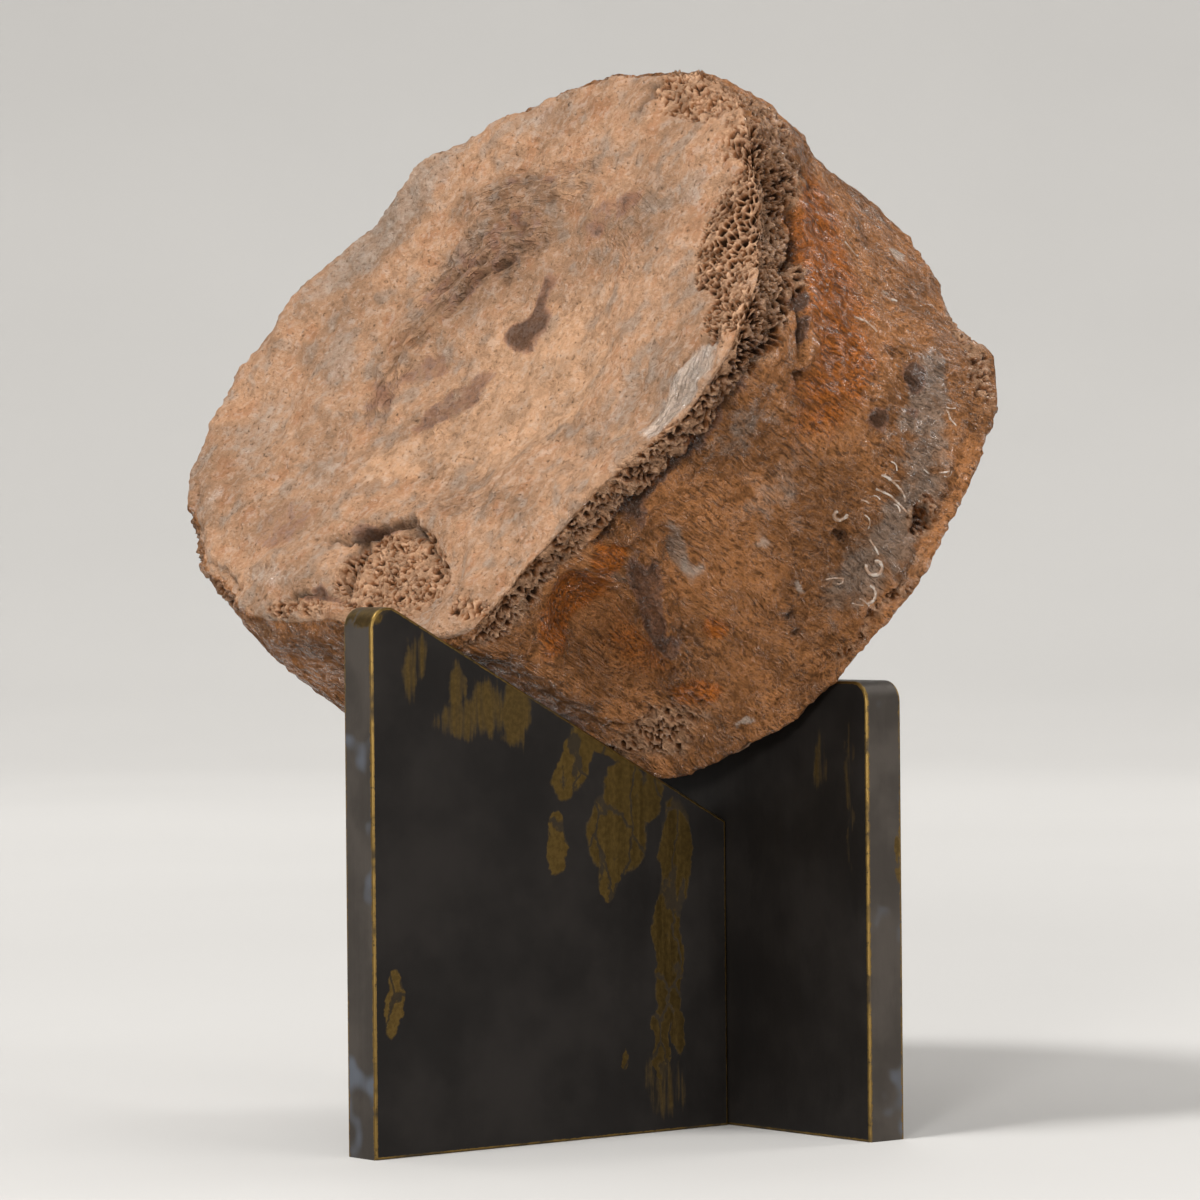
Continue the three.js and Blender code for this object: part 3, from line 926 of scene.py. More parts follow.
class BonePattern:
    """The patterns that the bone's colours and fine relief are mixed from, in bone millimetres"""

    def __init__(self, tree, settings):
        self.tree = tree
        shift = tuple(settings.seed * step for step in SEED_STEPS)
        place = tree.vector("ADD", tree.attribute("bone_point", 1), shift)
        along_wall = tree.vector("ADD", place, tree.attribute("sway", 1))
        along_wall = tree.stretched(along_wall, (1, 1, 0.12))
        self.broad = self.channel("broad")
        self.blotch = self.channel("blotch")
        self.mottle = tree.noise(place, 0.5, 2.0, 0.6)
        self.grain = tree.noise(place, 1.15, 4.0, 0.75)
        self.fibre = tree.noise(along_wall, 1.9, 3.0, 0.68)
        uneven = tree.ramp(self.blotch, 0.40, 0.56, 0.35, 1.0)
        # slit marks the gaps between fibres, lowered in the relief and given painted shade
        self.slit = tree.math("MULTIPLY", tree.ramp(self.fibre, 0.44, 0.38), uneven)
        # pit marks the grain's lowest spots, lowered in the relief and given painted shade
        self.pit = tree.ramp(self.grain, 0.37, 0.29)
        self.hollow = self.channel("hollow")
        self.open_bone = self.channel("open_bone")
        border = tree.math("MULTIPLY", self.blotch, 0.5)
        self.wall = tree.ramp(tree.math("ADD", self.channel("wall"), border), 0.5, 0.95)
        # fold marks the fold troughs, lowered in the relief and given painted shade
        folds = tree.stretched(tree.attribute("ring_point", 1), (0.95, 0.2, 0))
        folds = tree.noise(folds, 1.0, 3.0, 0.6)
        self.fold = tree.math("MULTIPLY", tree.ramp(folds, 0.53, 0.44), self.channel("wrinkle"))

    def channel(self, name):
        return self.tree.attribute(name)

    def stain(self, name, raggedness=0.8):
        """Where a stain lies, its border ragged"""
        tree = self.tree
        uneven = tree.math("ADD", self.blotch, tree.math("MULTIPLY", self.mottle, 0.5))
        ragged = tree.math("MULTIPLY", tree.math("SUBTRACT", uneven, 0.75), raggedness * 1.5)
        return tree.ramp(tree.math("ADD", self.channel(name), ragged), 0.2, 0.8)


def bone_colour(tree, pattern, settings):
    """Tan face, streaked brown wall, pale open bone and stains, with painted shade in the recesses and
    underneath and painted light on crests, the facet and the lower wall
    """
    def shade(name, factor=1.0):
        return shaded(getattr(settings, name), factor)

    def layer(base, share, colour, amount=1.0):
        return tree.mix(tree.math("MULTIPLY", share, amount, clamp=True), base, colour)

    face = tree.mix(tree.ramp(pattern.broad, 0.38, 0.6), shade("tan", 0.72), shade("tan"))
    face = layer(face, tree.ramp(pattern.blotch, 0.47, 0.36), shade("slate", 1.35), 0.45)
    face = layer(face, tree.ramp(pattern.blotch, 0.51, 0.66), shade("rust", 0.7), 0.35)
    face = layer(face, pattern.stain("orange", 0.8), shade("ochre"), 0.7)
    face = layer(face, pattern.stain("grey", 1.1), shade("slate", 1.25), 0.5)
    face = layer(face, tree.ramp(pattern.mottle, 0.47, 0.35), shade("tan", 0.5), 0.35)
    face = layer(face, tree.ramp(pattern.mottle, 0.54, 0.66), shade("chalk", 0.85), 0.18)
    # Painted shade in the fold troughs
    face = layer(face, pattern.fold, shade("umber", 3.0), 0.42)
    # Painted highlight: chalk on the grain's crests
    face = layer(face, tree.ramp(pattern.grain, 0.57, 0.72), shade("chalk"), 0.3)
    side = tree.mix(tree.ramp(pattern.broad, 0.42, 0.58), shade("brown", 0.75), shade("brown", 1.3))
    side = layer(side, tree.ramp(pattern.mottle, 0.46, 0.34), shade("brown", 0.45), 0.5)
    # Painted highlight on the fibre crests
    side = layer(side, tree.ramp(pattern.fibre, 0.52, 0.66), shade("brown", 1.6), 0.4)
    # Orange stain, painted lighter on the fibre crests and darker between them
    orange = tree.mix(tree.ramp(pattern.fibre, 0.44, 0.62), shade("rust", 0.7), shade("rust", 1.3))
    side = layer(side, pattern.stain("orange", 0.7), orange, 0.85)
    side = layer(side, pattern.stain("grey", 1.1), shade("slate"), 0.6)
    # Painted shade in the slits between fibres
    side = layer(side, pattern.slit, shade("umber", 1.2), 0.6)
    base = tree.mix(pattern.wall, face, side)
    open_bone = tree.mix(tree.ramp(pattern.mottle, 0.35, 0.65), shade("tan", 0.8), shade("ochre", 1.1))
    base = layer(base, pattern.open_bone, open_bone, 0.85)
    # Painted shade in the grain's low spots
    base = layer(base, tree.ramp(pattern.grain, 0.46, 0.33), shade("umber", 2.5), 0.5)
    stained = pattern.stain("dark", 0.7)
    base = layer(base, tree.ramp(stained, 0.0, 0.6), shade("plum"), 0.75)
    base = layer(base, tree.ramp(stained, 0.5, 1.0), shade("umber", 1.8), 0.8)
    # Chalky patches, and painted light: the glossy facet and the lower wall painted paler
    base = layer(base, pattern.stain("pale", 0.6), shade("chalk", 0.8), 0.6)
    # Painted shade in the pits
    base = layer(base, pattern.pit, shade("umber"), 0.6)
    # Painted shade in the cracks, holes and fold troughs
    base = layer(base, pattern.channel("cavity"), shade("umber"), 0.75)
    # Painted shade in pores, crumb pits and low lumps: dim rust where shallow, umber where deep
    base = layer(base, tree.ramp(pattern.hollow, 0.06, 0.4), shade("rust", 0.55), 0.75)
    return layer(base, tree.ramp(pattern.hollow, 0.25, 0.7), shade("umber", 0.7), 0.97)


def bone_relief(tree, pattern):
    """Grain, fibres and pits too fine for the mesh"""
    uneven = tree.ramp(pattern.blotch, 0.38, 0.6, 1.5, 0.9)
    relief = tree.math("MULTIPLY", pattern.grain, uneven)
    fibres = tree.math("SUBTRACT", pattern.fibre, tree.math("MULTIPLY", pattern.slit, 0.5))
    fibres = tree.math("ADD", fibres, tree.math("MULTIPLY", pattern.mottle, 0.7))
    fibres = tree.math("MULTIPLY", fibres, tree.math("MULTIPLY", pattern.wall, 2.2))
    relief = tree.math("ADD", relief, fibres)
    relief = tree.math("SUBTRACT", relief, tree.math("MULTIPLY", pattern.fold, 0.7))
    return tree.math("SUBTRACT", relief, tree.math("MULTIPLY", pattern.pit, 0.25))


def bone_material(settings):
    """Weathered fossil bone: a dry tan face, a fibrous rust-brown wall and open pores darkened with painted
    shade
    """
    material, tree, shader = new_material("fossil_bone")
    pattern = BonePattern(tree, settings)
    tree.join(bone_colour(tree, pattern, settings), shader["Base Color"])
    gloss = tree.ramp(tree.math("ADD", pattern.grain, pattern.mottle), 0.94, 1.1)
    worn = tree.math("MAXIMUM", tree.math("MULTIPLY", pattern.wall, 0.75), pattern.stain("pale", 0.3))
    gloss = tree.math("MULTIPLY", gloss, tree.math("ADD", worn, 0.3))
    bare = tree.math("SUBTRACT", 1.0, tree.ramp(pattern.hollow, 0.2, 0.75))
    tree.join(tree.ramp(gloss, 0.0, 0.9, 0.62, 0.2), shader["Roughness"])
    shader["Specular IOR Level"].default_value = 0.25
    shine = tree.math("MULTIPLY", tree.ramp(gloss, 0.0, 0.9, 0.07, 1.0), bare)
    tree.join(shine, shader["Specular IOR Level"])
    add_relief(tree, shader, bone_relief(tree, pattern), 1.1)
    return material


def tube_material(settings):
    """Chalky worm tube, stained in its growth rings"""
    material, tree, shader = new_material("worm_tube_chalk")
    stain = tree.noise(tree.add("ShaderNodeTexCoord", out=3), 900, 3.0, 0.6)
    colour = tree.mix(
        tree.ramp(stain, 0.38, 0.56), shaded(settings.chalk, 0.5), shaded(settings.tan, 0.45))
    tree.join(colour, shader["Base Color"])
    shader["Roughness"].default_value = 0.5
    add_relief(tree, shader, stain, 0.1)
    return material


def plate_outline(corners, radii, steps=8):
    """Points round a convex outline, its corners rounded by arcs of the given radii"""
    points = []
    count = len(corners)
    for i, (corner, radius) in enumerate(zip(corners, radii)):
        here = Vector(corner)
        if radius == 0:
            points.append(here)
            continue
        back = (Vector(corners[i - 1]) - here).normalized()
        on = (Vector(corners[(i + 1) % count]) - here).normalized()
        half = back.angle(on) / 2
        middle = here + (back + on).normalized() * (radius / sin(half))
        start = here + back * (radius / tan(half)) - middle
        sweep = pi - 2 * half
        for step in range(steps + 1):
            turn = Matrix.Rotation(sweep * step / steps, 2)
            points.append(middle + turn @ start)
    return points


LEAST_MITRE = 0.2


def inset(points, amount):
    """The outline moved inward, corners mitred"""
    moved = []
    count = len(points)
    for i, here in enumerate(points):
        before = (here - points[i - 1]).normalized()
        after = (points[(i + 1) % count] - here).normalized()
        inward = Vector((-before.y - after.y, before.x + after.x)).normalized()
        square = Vector((-after.y, after.x))
        moved.append(here + inward * (amount / max(LEAST_MITRE, inward.dot(square))))
    return moved


# Loops across a plate's thickness, in millimetres: how far each is from the outline, from the
# plate's middle plane, and from the nearest edge
ROUND_STEPS = 4
RUB_REACH = 3.2
EDGE_BAND = 0.25
STRIP_LEVEL = 0.3


def plate_mesh(name, outline, place, edge_radius):
    """A plate with softly rounded edges. Its attribute rub_distance is the distance from an edge."""
    radius = edge_radius / MM
    half = PLATE_THICKNESS / 2
    loops = [(RUB_REACH, half, RUB_REACH), (radius + EDGE_BAND, half, radius + EDGE_BAND)]
    for step in range(ROUND_STEPS + 1):
        turn = pi / 2 * step / ROUND_STEPS
        loops.append((radius * (1 - sin(turn)), half - radius * (1 - cos(turn)), 0.0))
    loops.append((0.0, half - radius - EDGE_BAND, EDGE_BAND))
    loops.append((0.0, STRIP_LEVEL, half - radius))
    loops += [(away, -level, rub) for away, level, rub in reversed(loops)]
    points, faces = lofted([
        [place(point, level) for point in inset(outline, away)] for away, level, _ in loops])
    count = len(outline)
    faces.append(list(range(count)))
    faces.append(list(range(len(points) - count, len(points)))[::-1])
    mesh = mesh_from(name, points, faces)
    bm = bmesh.new()
    bm.from_mesh(mesh)
    bmesh.ops.recalc_face_normals(bm, faces=bm.faces)
    bm.to_mesh(mesh)
    bm.free()
    write_attribute(mesh, "rub_distance", np.repeat([rub for _, _, rub in loops], count))
    write_attribute(mesh, "strip", np.repeat([float(away == 0) for away, _, _ in loops], count))
    mesh.shade_smooth()
    mesh.set_sharp_from_angle(angle=radians(40))
    return mesh


# Worn patches: a place in the stand's own frame, how far it reaches along the plate, across its
# thickness and up, its turn in degrees and how much brass shows. Below full wear a patch is brushed.
FULL_WEAR = 0.75
FRONT_PLATE_WEAR = [
    ((-73, -4, 83), (2.8, 6, 6.5), 12, 0.45),
    ((-64, -4, 79.5), (2.0, 6, 5.5), 4, 0.55),
    ((-63, -4, 74), (6.5, 6, 4.2), 0, 0.5),
    ((-57.5, -4, 76), (5.0, 6, 5.5), 0, 0.6),
    ((-51.6, -4, 75), (4.2, 6, 6.5), 4, 0.7),
    ((-38.5, -4, 66), (3.9, 6, 7.2), 28, 1.0),
    ((-30, -4, 67.6), (7.5, 6, 1.7), 27, 1.0),
    ((-21, -4, 60.5), (3.0, 6, 5.5), 20, 0.95),
    ((-27.5, -4, 61.5), (4.2, 6, 3.4), 0, 1.0),
    ((-29, -4, 53.5), (6.8, 6, 7.4), 0, 0.95),
    ((-31, -4, 46.5), (2.2, 6, 5.0), 0, 1.0),
    ((-42.7, -4, 51.5), (2.3, 6, 5.4), 4, 1.0),
    ((-16, -4, 49.5), (3.6, 6, 9.0), 0, 0.95),
    ((-18, -4, 32), (3.3, 6, 13), 0, 0.95),
    ((-19.6, -4, 16), (2.0, 6, 6.5), 0, 0.8),
    ((-15.8, -4, 18), (1.5, 6, 4.0), 0, 0.8),
    ((-18.5, -4, 8), (6.0, 6, 7.0), 0, 0.4),
    ((-78.2, -4, 26), (2.1, 6, 5.5), 4, 1.0),
    ((-27.5, -4, 13.7), (0.9, 6, 1.8), 0, 0.9),
    ((-6, -4, 31), (2.0, 6, 9.5), 0, 0.25),
    ((-82, 0, 93.5), (4.5, 7, 3.6), 0, 1.0),
    ((-60, 4, 52), (5.0, 6, 11), 0, 0.8),
    ((-34, 4, 60), (8.0, 6, 5.0), 20, 0.9),
    ((-70, 4, 20), (3.0, 6, 8.0), 0, 0.7),
]
REAR_PLATE_WEAR = [
    ((-4, -29.2, 65.7), (6, 2.4, 5.6), 0, 0.4),
    ((-4, -37, 60), (6, 1.2, 18), 0, 0.35),
    ((3.6, -41.4, 49), (1.7, 3, 5.8), 0, 0.9),
    ((4, -22, 52), (6, 5, 12), 0, 0.9),
    ((4, 14, 60), (6, 7, 8), 0, 0.8),
    ((4, 44, 30), (6, 3.5, 14), 0, 0.8),
    ((-4, 38, 58), (6, 5, 9), 0, 0.8),
    ((4, -12, 14), (6, 3, 7), 0, 0.6),
]


def worn_share(tree, place, patches, axis):
    """How much brass shows through the patina: full patches with soft borders, and brushed ones"""
    wobble = tree.vector("SUBTRACT", tree.noise(place, 0.18, 4.0, 0.6, out=1), (0.5, 0.5, 0.5))
    bent = tree.vector("ADD", place, tree.scaled(wobble, 5.0))
    brush = tree.noise(tree.stretched(place, (1, 1, 0.09)), 0.9, 3.0, 0.6)
    scuff = tree.ramp(tree.noise(tree.stretched(place, (1, 1, 0.6)), 0.22, 4.0, 0.6), 0.38, 0.44)
    crack = tree.ramp(tree.edges(tree.stretched(bent, (1, 1, 0.5)), 0.15), 0.015, 0.05)
    scuff = tree.math("MULTIPLY", scuff, crack)
    full, brushed = 0.0, 0.0
    for middle, reach, turn, strength in patches:
        turns = [0, 0, 0]
        turns[axis] = radians(turn)
        local = tree.add(
            "ShaderNodeMapping", {0: bent, "Location": middle, "Rotation": turns, "Scale": reach},
            vector_type="TEXTURE")
        length = tree.add("ShaderNodeVectorMath", {0: local}, operation="LENGTH", out=1)
        if strength >= FULL_WEAR:
            full = tree.math("MAXIMUM", full, tree.ramp(length, 1.06, 0.94, 0, strength))
        else:
            brushed = tree.math("MAXIMUM", brushed, tree.ramp(length, 1.3, 0.5, 0, strength))
    full = tree.math("MULTIPLY", full, tree.math("ADD", 0.15, tree.math("MULTIPLY", scuff, 0.85)))
    brushed = tree.ramp(tree.math("ADD", brushed, brush), 0.75, 1.15, 0, 0.75)
    return tree.math("MAXIMUM", full, brushed)


SHEEN_SPOT_COLOUR = (0.10, 0.11, 0.13)


def plate_material(name, settings, patches, axis):
    """Blackened brass, rubbed through in patches and along its edges"""
    material, tree, shader = new_material(name)
    place = tree.add(
        "ShaderNodeMapping",
        {0: tree.add("ShaderNodeTexCoord", out=3), "Rotation": (0, 0, STAND_HEADING), "Scale": (MM, MM, MM)},
        vector_type="TEXTURE")
    cloud = tree.noise(place, 0.05, 4.0, 0.6)
    streak = tree.noise(tree.stretched(place, (1, 1, 0.04)), 0.8, 3.0, 0.6)
    grain = tree.noise(place, 1.2, 3.0, 0.6)
    uneven = tree.math("MULTIPLY", tree.math("SUBTRACT", grain, 0.5), 0.9)
    rub = tree.math("SUBTRACT", tree.attribute("rub_distance"), uneven)
    line = tree.ramp(rub, settings.rub_width / MM, 0.05)
    line = tree.math("MULTIPLY", line, tree.ramp(tree.noise(place, 0.11, 3.0, 0.7), 0.34, 0.52, 0.25, 1.0))
    bare = tree.math("MAXIMUM", worn_share(tree, place, patches, axis), line)
    strip = tree.attribute("strip")
    patina, satin, brass = (tuple(colour) for colour in (settings.patina, settings.satin, settings.brass))
    dark = tree.mix(tree.ramp(cloud, 0.35, 0.7), patina, shaded(patina, 1.8))
    satin = tree.mix(tree.ramp(cloud, 0.4, 0.62), satin, shaded(satin, 1.45))
    # Painted sheen: pale bluish spots on the narrow sides
    satin = tree.mix(tree.ramp(tree.noise(place, 0.09, 2.0), 0.60, 0.72), satin, SHEEN_SPOT_COLOUR)
    dark = tree.mix(strip, dark, satin)
    dull = tree.mix(tree.ramp(grain, 0.35, 0.65), shaded(brass, 0.7), brass)
    bright = tree.mix(line, dull, shaded(brass, 1.6))
    metal = tree.math("MAXIMUM", bare, tree.math("MULTIPLY", strip, 0.6))
    tree.join(tree.mix(bare, dark, bright), shader["Base Color"])
    tree.join(tree.ramp(metal, 0, 1), shader["Metallic"])
    tree.join(tree.ramp(streak, 0.3, 0.7, 0.38, 0.52), shader["Roughness"])
    shader["Specular IOR Level"].default_value = 0.08
    add_relief(tree, shader, grain, 0.04, 0.5)
    return material


# The stage, in metres. Each light is a name, a place, the width of its disk and the setting that
# holds its power.
LIGHTS = [
    ("key_light", (-0.50, -0.45, 1.30), 0.26, "key_power"),
    ("front_light", (-0.30, -1.30, 0.34), 0.22, "front_power"),
    ("fill_light", (0.85, -0.95, 0.22), 0.4, "fill_power"),
    ("rim_light", (0.95, 0.45, 0.70), 0.4, "rim_power"),
]
BACKDROP_LIGHTS = 6
BACKDROP_LIGHT_DISTANCE = 1.1
BACKDROP_LIGHT_HEIGHT = 1.5
BACKDROP_LIGHT_WIDTH = 0.8
BACKDROP_AIM = 1.6
SKY_COLOUR = (1.0, 0.98, 0.95, 1)
SKY_STRENGTH = 0.2
FLOOR_SIDES = 96
SWEEP_RADIUS = 1.5
SWEEP_STEPS = 8
WALL_HEIGHT = 4.0
CAMERA_PLACE = (-0.0229, -0.8956, 0.1001)
NEAREST_SEEN = 0.01


class FOSSIL_OT_stage(bpy.types.Operator):
    """Makes the pale floor, the soft lights and the camera"""
    bl_idname = "fossil.make_stage"
    bl_label = "Make Stage"

    def execute(self, context):
        settings = context.scene.fossil_stage
        self.floor(settings)
        for name, place, size, power in LIGHTS:
            self.light(name, place, size, getattr(settings, power), OBJECT_CENTRE)
        for i in range(BACKDROP_LIGHTS):
            turn = pi * (2 * i + 1) / BACKDROP_LIGHTS
            around = Vector((cos(turn), sin(turn), 0))
            place = around * BACKDROP_LIGHT_DISTANCE + Vector((0, 0, BACKDROP_LIGHT_HEIGHT))
            self.light(
                f"backdrop_light_{i}", place, BACKDROP_LIGHT_WIDTH, settings.backdrop_power,
                around * settings.floor_radius * BACKDROP_AIM)
        self.world(context.scene)
        self.camera(context.scene, settings)
        return {"FINISHED"}

    def floor(self, settings):
        """A flat round floor that sweeps up to a wall all round, smooth and seamless"""
        profile = [(settings.floor_radius, 0.0)]
        for step in range(1, SWEEP_STEPS + 1):
            turn = pi / 2 * step / SWEEP_STEPS
            radius = settings.floor_radius + SWEEP_RADIUS * sin(turn)
            profile.append((radius, SWEEP_RADIUS * (1 - cos(turn))))
        profile.append((settings.floor_radius + SWEEP_RADIUS, WALL_HEIGHT))
        turns = [2 * pi * i / FLOOR_SIDES for i in range(FLOOR_SIDES)]
        points, faces = lofted([
            [(radius * cos(turn), radius * sin(turn), height) for turn in turns]
            for radius, height in profile])
        faces.append(list(range(FLOOR_SIDES)))
        material, tree, shader = new_material("pale_floor")
        tone = tree.noise(tree.add("ShaderNodeTexCoord", out=3), 3.0, 3.0)
        pale = tuple(settings.floor_colour)
        tree.join(tree.mix(tree.ramp(tone, 0.3, 0.7), pale, shaded(pale, 0.97)), shader["Base Color"])
        shader["Roughness"].default_value = 0.7
        floor = new_object("floor", mesh_from("floor", points, faces), material)
        floor.data.shade_smooth()

    def light(self, name, place, size, power, target):
        data = bpy.data.lights.new(name, "AREA")
        data.shape = "DISK"
        data.size = size
        data.energy = power
        lamp = bpy.data.objects.new(name, data)
        lamp.location = place
        aim = Vector(target) - Vector(place)
        lamp.rotation_euler = aim.to_track_quat("-Z", "Y").to_euler()
        lamp.visible_camera = False
        bpy.context.collection.objects.link(lamp)

    def world(self, scene):
        world = bpy.data.worlds.new("studio")
        world.use_nodes = True
        background = world.node_tree.nodes["Background"]
        background.inputs[0].default_value = SKY_COLOUR
        background.inputs[1].default_value = SKY_STRENGTH
        scene.world = world
        scene.view_settings.view_transform = "Standard"

    def camera(self, scene, settings):
        data = bpy.data.cameras.new("camera")
        data.lens = settings.focal_length
        data.clip_start = NEAREST_SEEN
        camera = bpy.data.objects.new("camera", data)
        bpy.context.collection.objects.link(camera)
        camera.matrix_world = (
            Matrix.Translation(CAMERA_PLACE)
            @ Matrix.Rotation(pi / 2 - settings.camera_pitch, 4, "X")
            @ Matrix.Rotation(settings.camera_roll, 4, "Z"))
        scene.camera = camera


def thinned(piece, count):
    """The piece with its flattest triangles merged until it has no more than the count"""
    triangles = sum(len(face.vertices) - 2 for face in piece.data.polygons)
    decimation = piece.modifiers.new("thin", "DECIMATE")
    decimation.ratio = min(1.0, count / triangles)
    return baked(piece)


# How far the surface faces out of a hollow face, from nothing to all, where each kind begins
# or ends, and how deep the front face's kind reaches, in millimetres
FACE_LEAN = (0.2, 0.5)
FACE_DEPTH = (9, 13)
WALL_LEAN = (0.7, 0.92)
RIM_LEAN = (0.22, 0.45)
RIM_END_LEAN = (0.80, 0.96)


class FOSSIL_OT_vertebra(bpy.types.Operator):
    """Makes the weathered bone over its plain solid"""
    bl_idname = "fossil.make_vertebra"
    bl_label = "Make Vertebra"

    def execute(self, context):
        settings = context.scene.fossil_bone
        bone = fine_copy("vertebra", "fossil_vertebra", SUBDIVISIONS)
        outward = softened_normals(bone.data, NORMAL_ROUNDS)
        write_attribute(bone.data, "outward", outward, "FLOAT_VECTOR", "vector")
        self.write_channels(bone.data)
        face, seen, spongy, crumbly = (
            read_values(bone.data, name) for name in ("face", "seen", "spongy", "crumbly"))
        refine(bone.data, np.maximum.reduce([face, seen, spongy, crumbly]) > FINE_SHARE)
        refine(bone.data, read_values(bone.data, "spongy") > FINEST_SHARE)
        self.write_channels(bone.data)
        self.shape(bone.data, settings.seed)
        self.weather(bone, settings)
        self.clear_plates(bone.data)
        thinned(bone, TRIANGLE_LIMIT)
        write_places(bone.data, bone_points(bone.data))
        bone.data.shade_smooth()
        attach(bone, "root")
        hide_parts("vertebra")
        return {"FINISHED"}

    def write_channels(self, mesh):
        """Stores each vertex's bone coordinates and the strength of every kind of surface there"""
        points = bone_points(mesh)
        outward = bone_normals(mesh)[:, 2]
        warp = wander(points, 6.0, (61, 71, 81))
        face_place, angle, depth = surface_places(points + 1.5 * warp)
        lean = np.abs(outward)
        on_face = smoothstep(outward, *FACE_LEAN) * (1 - smoothstep(-points[:, 2], *FACE_DEPTH))
        on_wall = 1 - smoothstep(lean, *WALL_LEAN)
        on_rim = smoothstep(lean, *RIM_LEAN) * (1 - smoothstep(lean, *RIM_END_LEAN))
        low, high = SEEN_WALL
        write_places(mesh, points)
        write_attribute(mesh, "face", on_face)
        write_attribute(mesh, "wall", on_wall)
        write_attribute(mesh, "rim", on_rim)
        write_attribute(mesh, "seen", on_wall * ((angle > low) & (angle < high)))
        for channel in CHANNELS:
            values = channel_values(channel, face_place, angle, depth, on_face, on_wall)
            write_attribute(mesh, channel, values)

    def shape(self, mesh, seed):
        """Moves the vertices outward by the height of the shaped marks"""
        points = read_vectors(mesh, "bone_point")
        on_face, on_wall, on_rim, wrinkle = (
            read_values(mesh, name) for name in ("face", "wall", "rim", "wrinkle"))
        on_rim = on_rim * (1 - read_values(mesh, "spongy"))
        height, cavity = shaped_height(points, on_face, on_wall, on_rim, wrinkle, seed)
        write_attribute(mesh, "cavity", cavity)
        outward = read_vectors(mesh, "outward")
        outward /= np.linalg.norm(outward, axis=1)[:, None]
        move_to(mesh, coordinates(mesh) + outward * height[:, None] * MM)

    def weather(self, bone, settings):
        """Opens the pores and raises the fibres, within the box of the plain solid"""
        grown(bone, weathering_tree(bone_material(settings)), {
            "Pore Size": settings.pore_size, "Pore Depth": settings.pore_depth,
            "Crumb Size": settings.crumb_size, "Crumb Depth": settings.crumb_depth,
            "Fibre Width": settings.fibre_width, "Fibre Height": settings.fibre_height,
            "Seed": settings.seed})
        low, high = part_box("vertebra")
        move_to(bone.data, np.clip(coordinates(bone.data), np.array(low), np.array(high)))

    def clear_plates(self, mesh):
        """Puts the vertices that came too near a plate back on the plain surface"""
        frame_matrix = np.array(BONE_FRAME)
        plain = read_vectors(mesh, "bone_point") * MM @ frame_matrix[:3, :3].T + frame_matrix[:3, 3]
        moved = coordinates(mesh)
        near = plate_gap(moved) < LEAST_GAP
        moved[near] = plain[near]
        move_to(mesh, moved)


def tube_tree(material):
    """Geometry nodes that sweep a round tube along every line and cap its ends"""
    tree, given = new_group("worm_tubes", {"Spacing": "Float", "Radius": "Float"})
    curve = tree.add("GeometryNodeMeshToCurve", {0: given["Geometry"]})
    curve = tree.add(
        "GeometryNodeResampleCurve", {"Curve": curve, "Length": given["Spacing"]}, mode="LENGTH")
    knots = tree.noise(tree.add("GeometryNodeInputPosition"), 1.1 / MM, 2.0)
    knots = tree.math("ADD", 0.6, tree.math("MULTIPLY", knots, 0.8))
    width = tree.math("MULTIPLY", tree.stored("tube_width"), knots)
    curve = tree.add("GeometryNodeSetCurveRadius", {"Curve": curve, "Radius": width})
    ring = tree.add("GeometryNodeCurvePrimitiveCircle", {"Resolution": 7, "Radius": given["Radius"]})
    swept = tree.add(
        "GeometryNodeCurveToMesh",
        {"Curve": curve, "Profile Curve": ring, "Scale": width, "Fill Caps": True})
    return finished_group(tree, swept, material)


class FOSSIL_OT_worm_tubes(bpy.types.Operator):
    """Makes the chalky worm tubes on the bone's wall"""
    bl_idname = "fossil.make_worm_tubes"
    bl_label = "Make Worm Tubes"

    def execute(self, context):
        settings = context.scene.fossil_bone
        bone = bpy.data.objects["fossil_vertebra"]
        surface = BVHTree.FromPolygons(
            [vertex.co for vertex in bone.data.vertices],
            [face.vertices for face in bone.data.polygons])
        points, edges, widths = [], [], []
        for tube in [*WORM_TUBES, *self.thicket(settings.seed)]:
            route = self.route(surface, *tube)
            edges += [(len(points) + i, len(points) + i + 1) for i in range(len(route) - 1)]
            points += route
            widths += [tube[-1]] * len(route)
        mesh = bpy.data.meshes.new("worm_tubes")
        mesh.from_pydata(points, edges, [])
        write_attribute(mesh, "tube_width", widths)
        piece = new_object("worm_tubes", mesh)
        grown(piece, tube_tree(tube_material(settings)), {"Spacing": 0.5 * MM, "Radius": 0.5 * MM})
        piece.data.shade_smooth()
        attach(piece, "root")
        return {"FINISHED"}

    def thicket(self, seed):
        """Scattered small tubes along the far rim"""
        chance = np.random.default_rng(seed)
        for _ in range(THICKET_COUNT):
            at = (chance.uniform(*THICKET_ANGLES), chance.uniform(*THICKET_DEPTHS))
            curl = chance.normal(*THICKET_CURLS)
            heading = chance.normal(*THICKET_HEADINGS)
            length = chance.uniform(*THICKET_LENGTHS)
            yield at, heading, curl, length, chance.uniform(*THICKET_WIDTHS)

    def route(self, surface, at, heading, curl, length, width):
        """Points along a curl on the bone's wall, each laid on the surface"""
        angle, depth, turn = radians(at[0]), at[1], radians(heading)
        route = []
        for _ in range(int(length / TUBE_STEP) + 1):
            radial = Vector((cos(angle), sin(angle), 0))
            start = BONE_FRAME @ ((radial * 1.5 * MEAN_RADIUS + Vector((0, 0, -depth))) * MM)
            inward = (BONE_FRAME.to_3x3() @ -radial).normalized()
            place, normal, _, _ = surface.ray_cast(start, inward)
            if place is None:
                break
            route.append(place - normal * (TUBE_SINK * width * MM))
            angle += cos(turn) * TUBE_STEP / MEAN_RADIUS
            depth += sin(turn) * TUBE_STEP
            turn += radians(curl) * TUBE_STEP
        return route


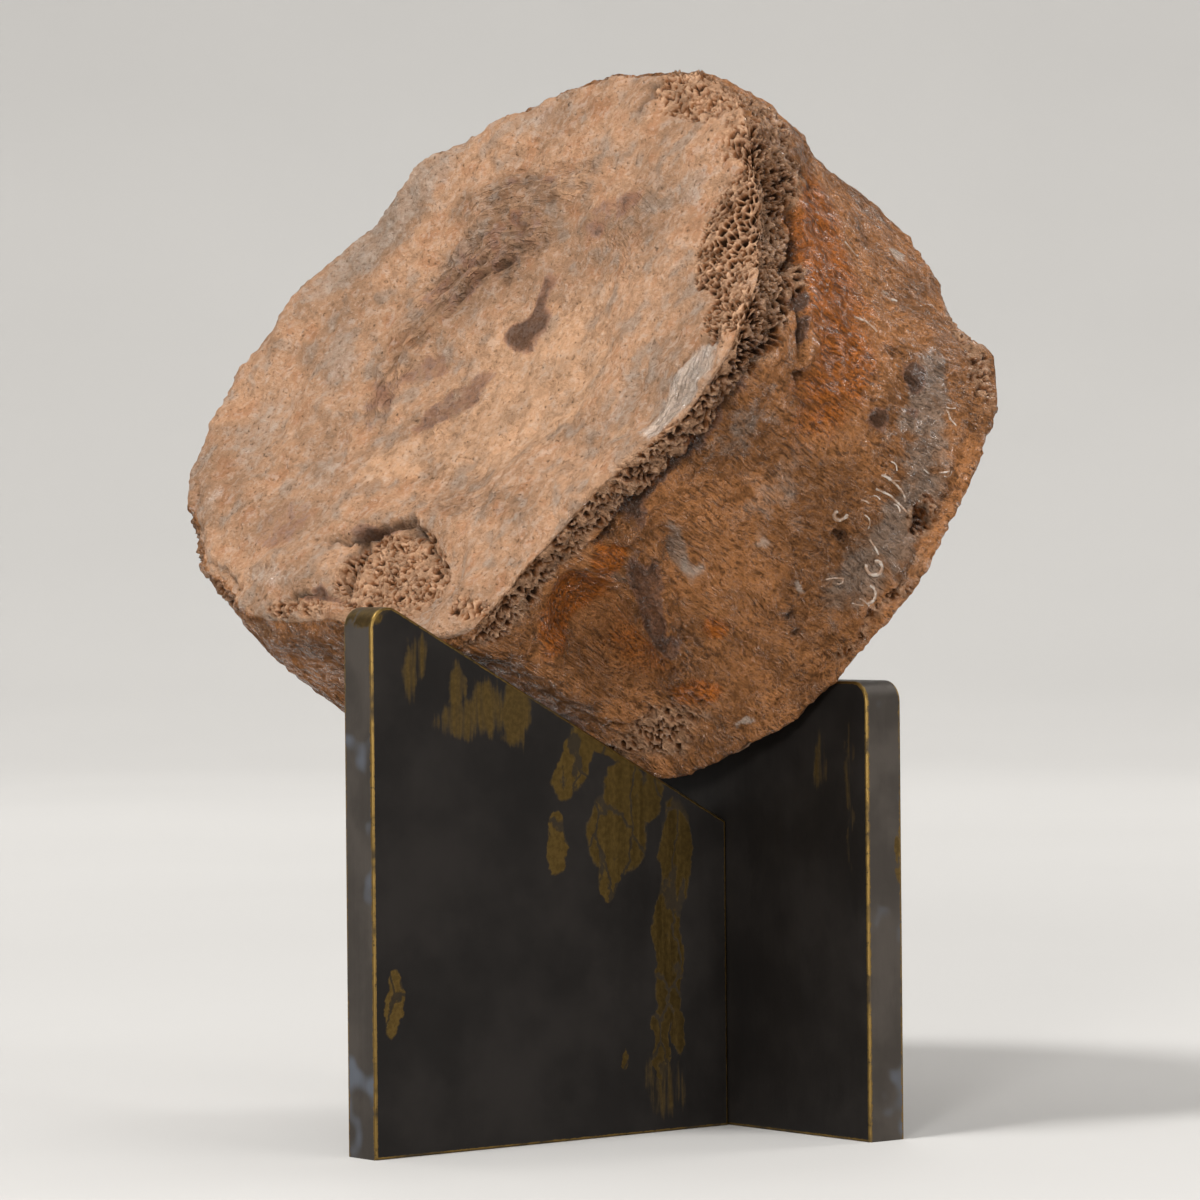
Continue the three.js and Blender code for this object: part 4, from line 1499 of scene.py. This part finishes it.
class FOSSIL_OT_stand(bpy.types.Operator):
    """Makes the two patinated plates over their plain solids"""
    bl_idname = "fossil.make_stand"
    bl_label = "Make Stand"

    def execute(self, context):
        settings = context.scene.fossil_stand
        front = plate_outline(
            [(FRONT_PLATE_START, 0), (FRONT_PLATE_START, FRONT_PLATE_LOW_HEIGHT),
             (FRONT_PLATE_END, FRONT_PLATE_END_HEIGHT), (FRONT_PLATE_END, 0)],
            [0, 0, CORNER_RADIUS, 0])
        low, high = REAR_PLATE_SPAN
        rear = plate_outline(
            [(high, 0), (high, REAR_PLATE_HEIGHT), (low, REAR_PLATE_HEIGHT), (low, 0)],
            [0, CORNER_RADIUS, CORNER_RADIUS, 0])
        self.plate("front_plate", front, lambda point, level: Vector((point.x, level, point.y)),
                   settings, FRONT_PLATE_WEAR, 1)
        self.plate("rear_plate", rear, lambda point, level: Vector((level, point.x, point.y)),
                   settings, REAR_PLATE_WEAR, 0)
        return {"FINISHED"}

    def plate(self, node, outline, place, settings, patches, axis):
        def in_world(point, level):
            return STAND_FRAME @ (place(point, level) * MM)

        material = plate_material("patinated_" + node, settings, patches, axis)
        mesh = plate_mesh("patinated_" + node, outline, in_world, settings.edge_radius)
        piece = new_object("patinated_" + node, mesh, material)
        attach(piece, "root")
        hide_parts(node)


class FOSSIL_PT_panel(bpy.types.Panel):
    """Lists the pieces and the stage"""
    bl_idname = "FOSSIL_PT_panel"
    bl_label = "Fossil Vertebra"
    bl_space_type = "VIEW_3D"
    bl_region_type = "UI"
    bl_category = "Fossil"

    def draw(self, context):
        for operator, settings in STEPS:
            box = self.layout.box()
            box.operator(operator)
            group = getattr(context.scene, settings)
            for name in group.__annotations__:
                box.prop(group, name)


STEPS = [
    ("fossil.make_stage", "fossil_stage"),
    ("fossil.make_vertebra", "fossil_bone"),
    ("fossil.make_worm_tubes", "fossil_bone"),
    ("fossil.make_stand", "fossil_stand"),
]
SETTINGS = {
    "fossil_stage": StageSettings,
    "fossil_bone": BoneSettings,
    "fossil_stand": StandSettings,
}
CLASSES = (
    *SETTINGS.values(), FOSSIL_OT_stage, FOSSIL_OT_vertebra, FOSSIL_OT_worm_tubes,
    FOSSIL_OT_stand, FOSSIL_PT_panel)


def register():
    for cls in CLASSES:
        bpy.utils.register_class(cls)
    for name, cls in SETTINGS.items():
        setattr(bpy.types.Scene, name, PointerProperty(type=cls))


def unregister():
    for name in SETTINGS:
        delattr(bpy.types.Scene, name)
    for cls in reversed(CLASSES):
        bpy.utils.unregister_class(cls)


def main():
    register()
    bpy.ops.fossil.make_stage()
    bpy.ops.fossil.make_vertebra()
    bpy.ops.fossil.make_worm_tubes()
    bpy.ops.fossil.make_stand()


if __name__ == "__main__":
    main()
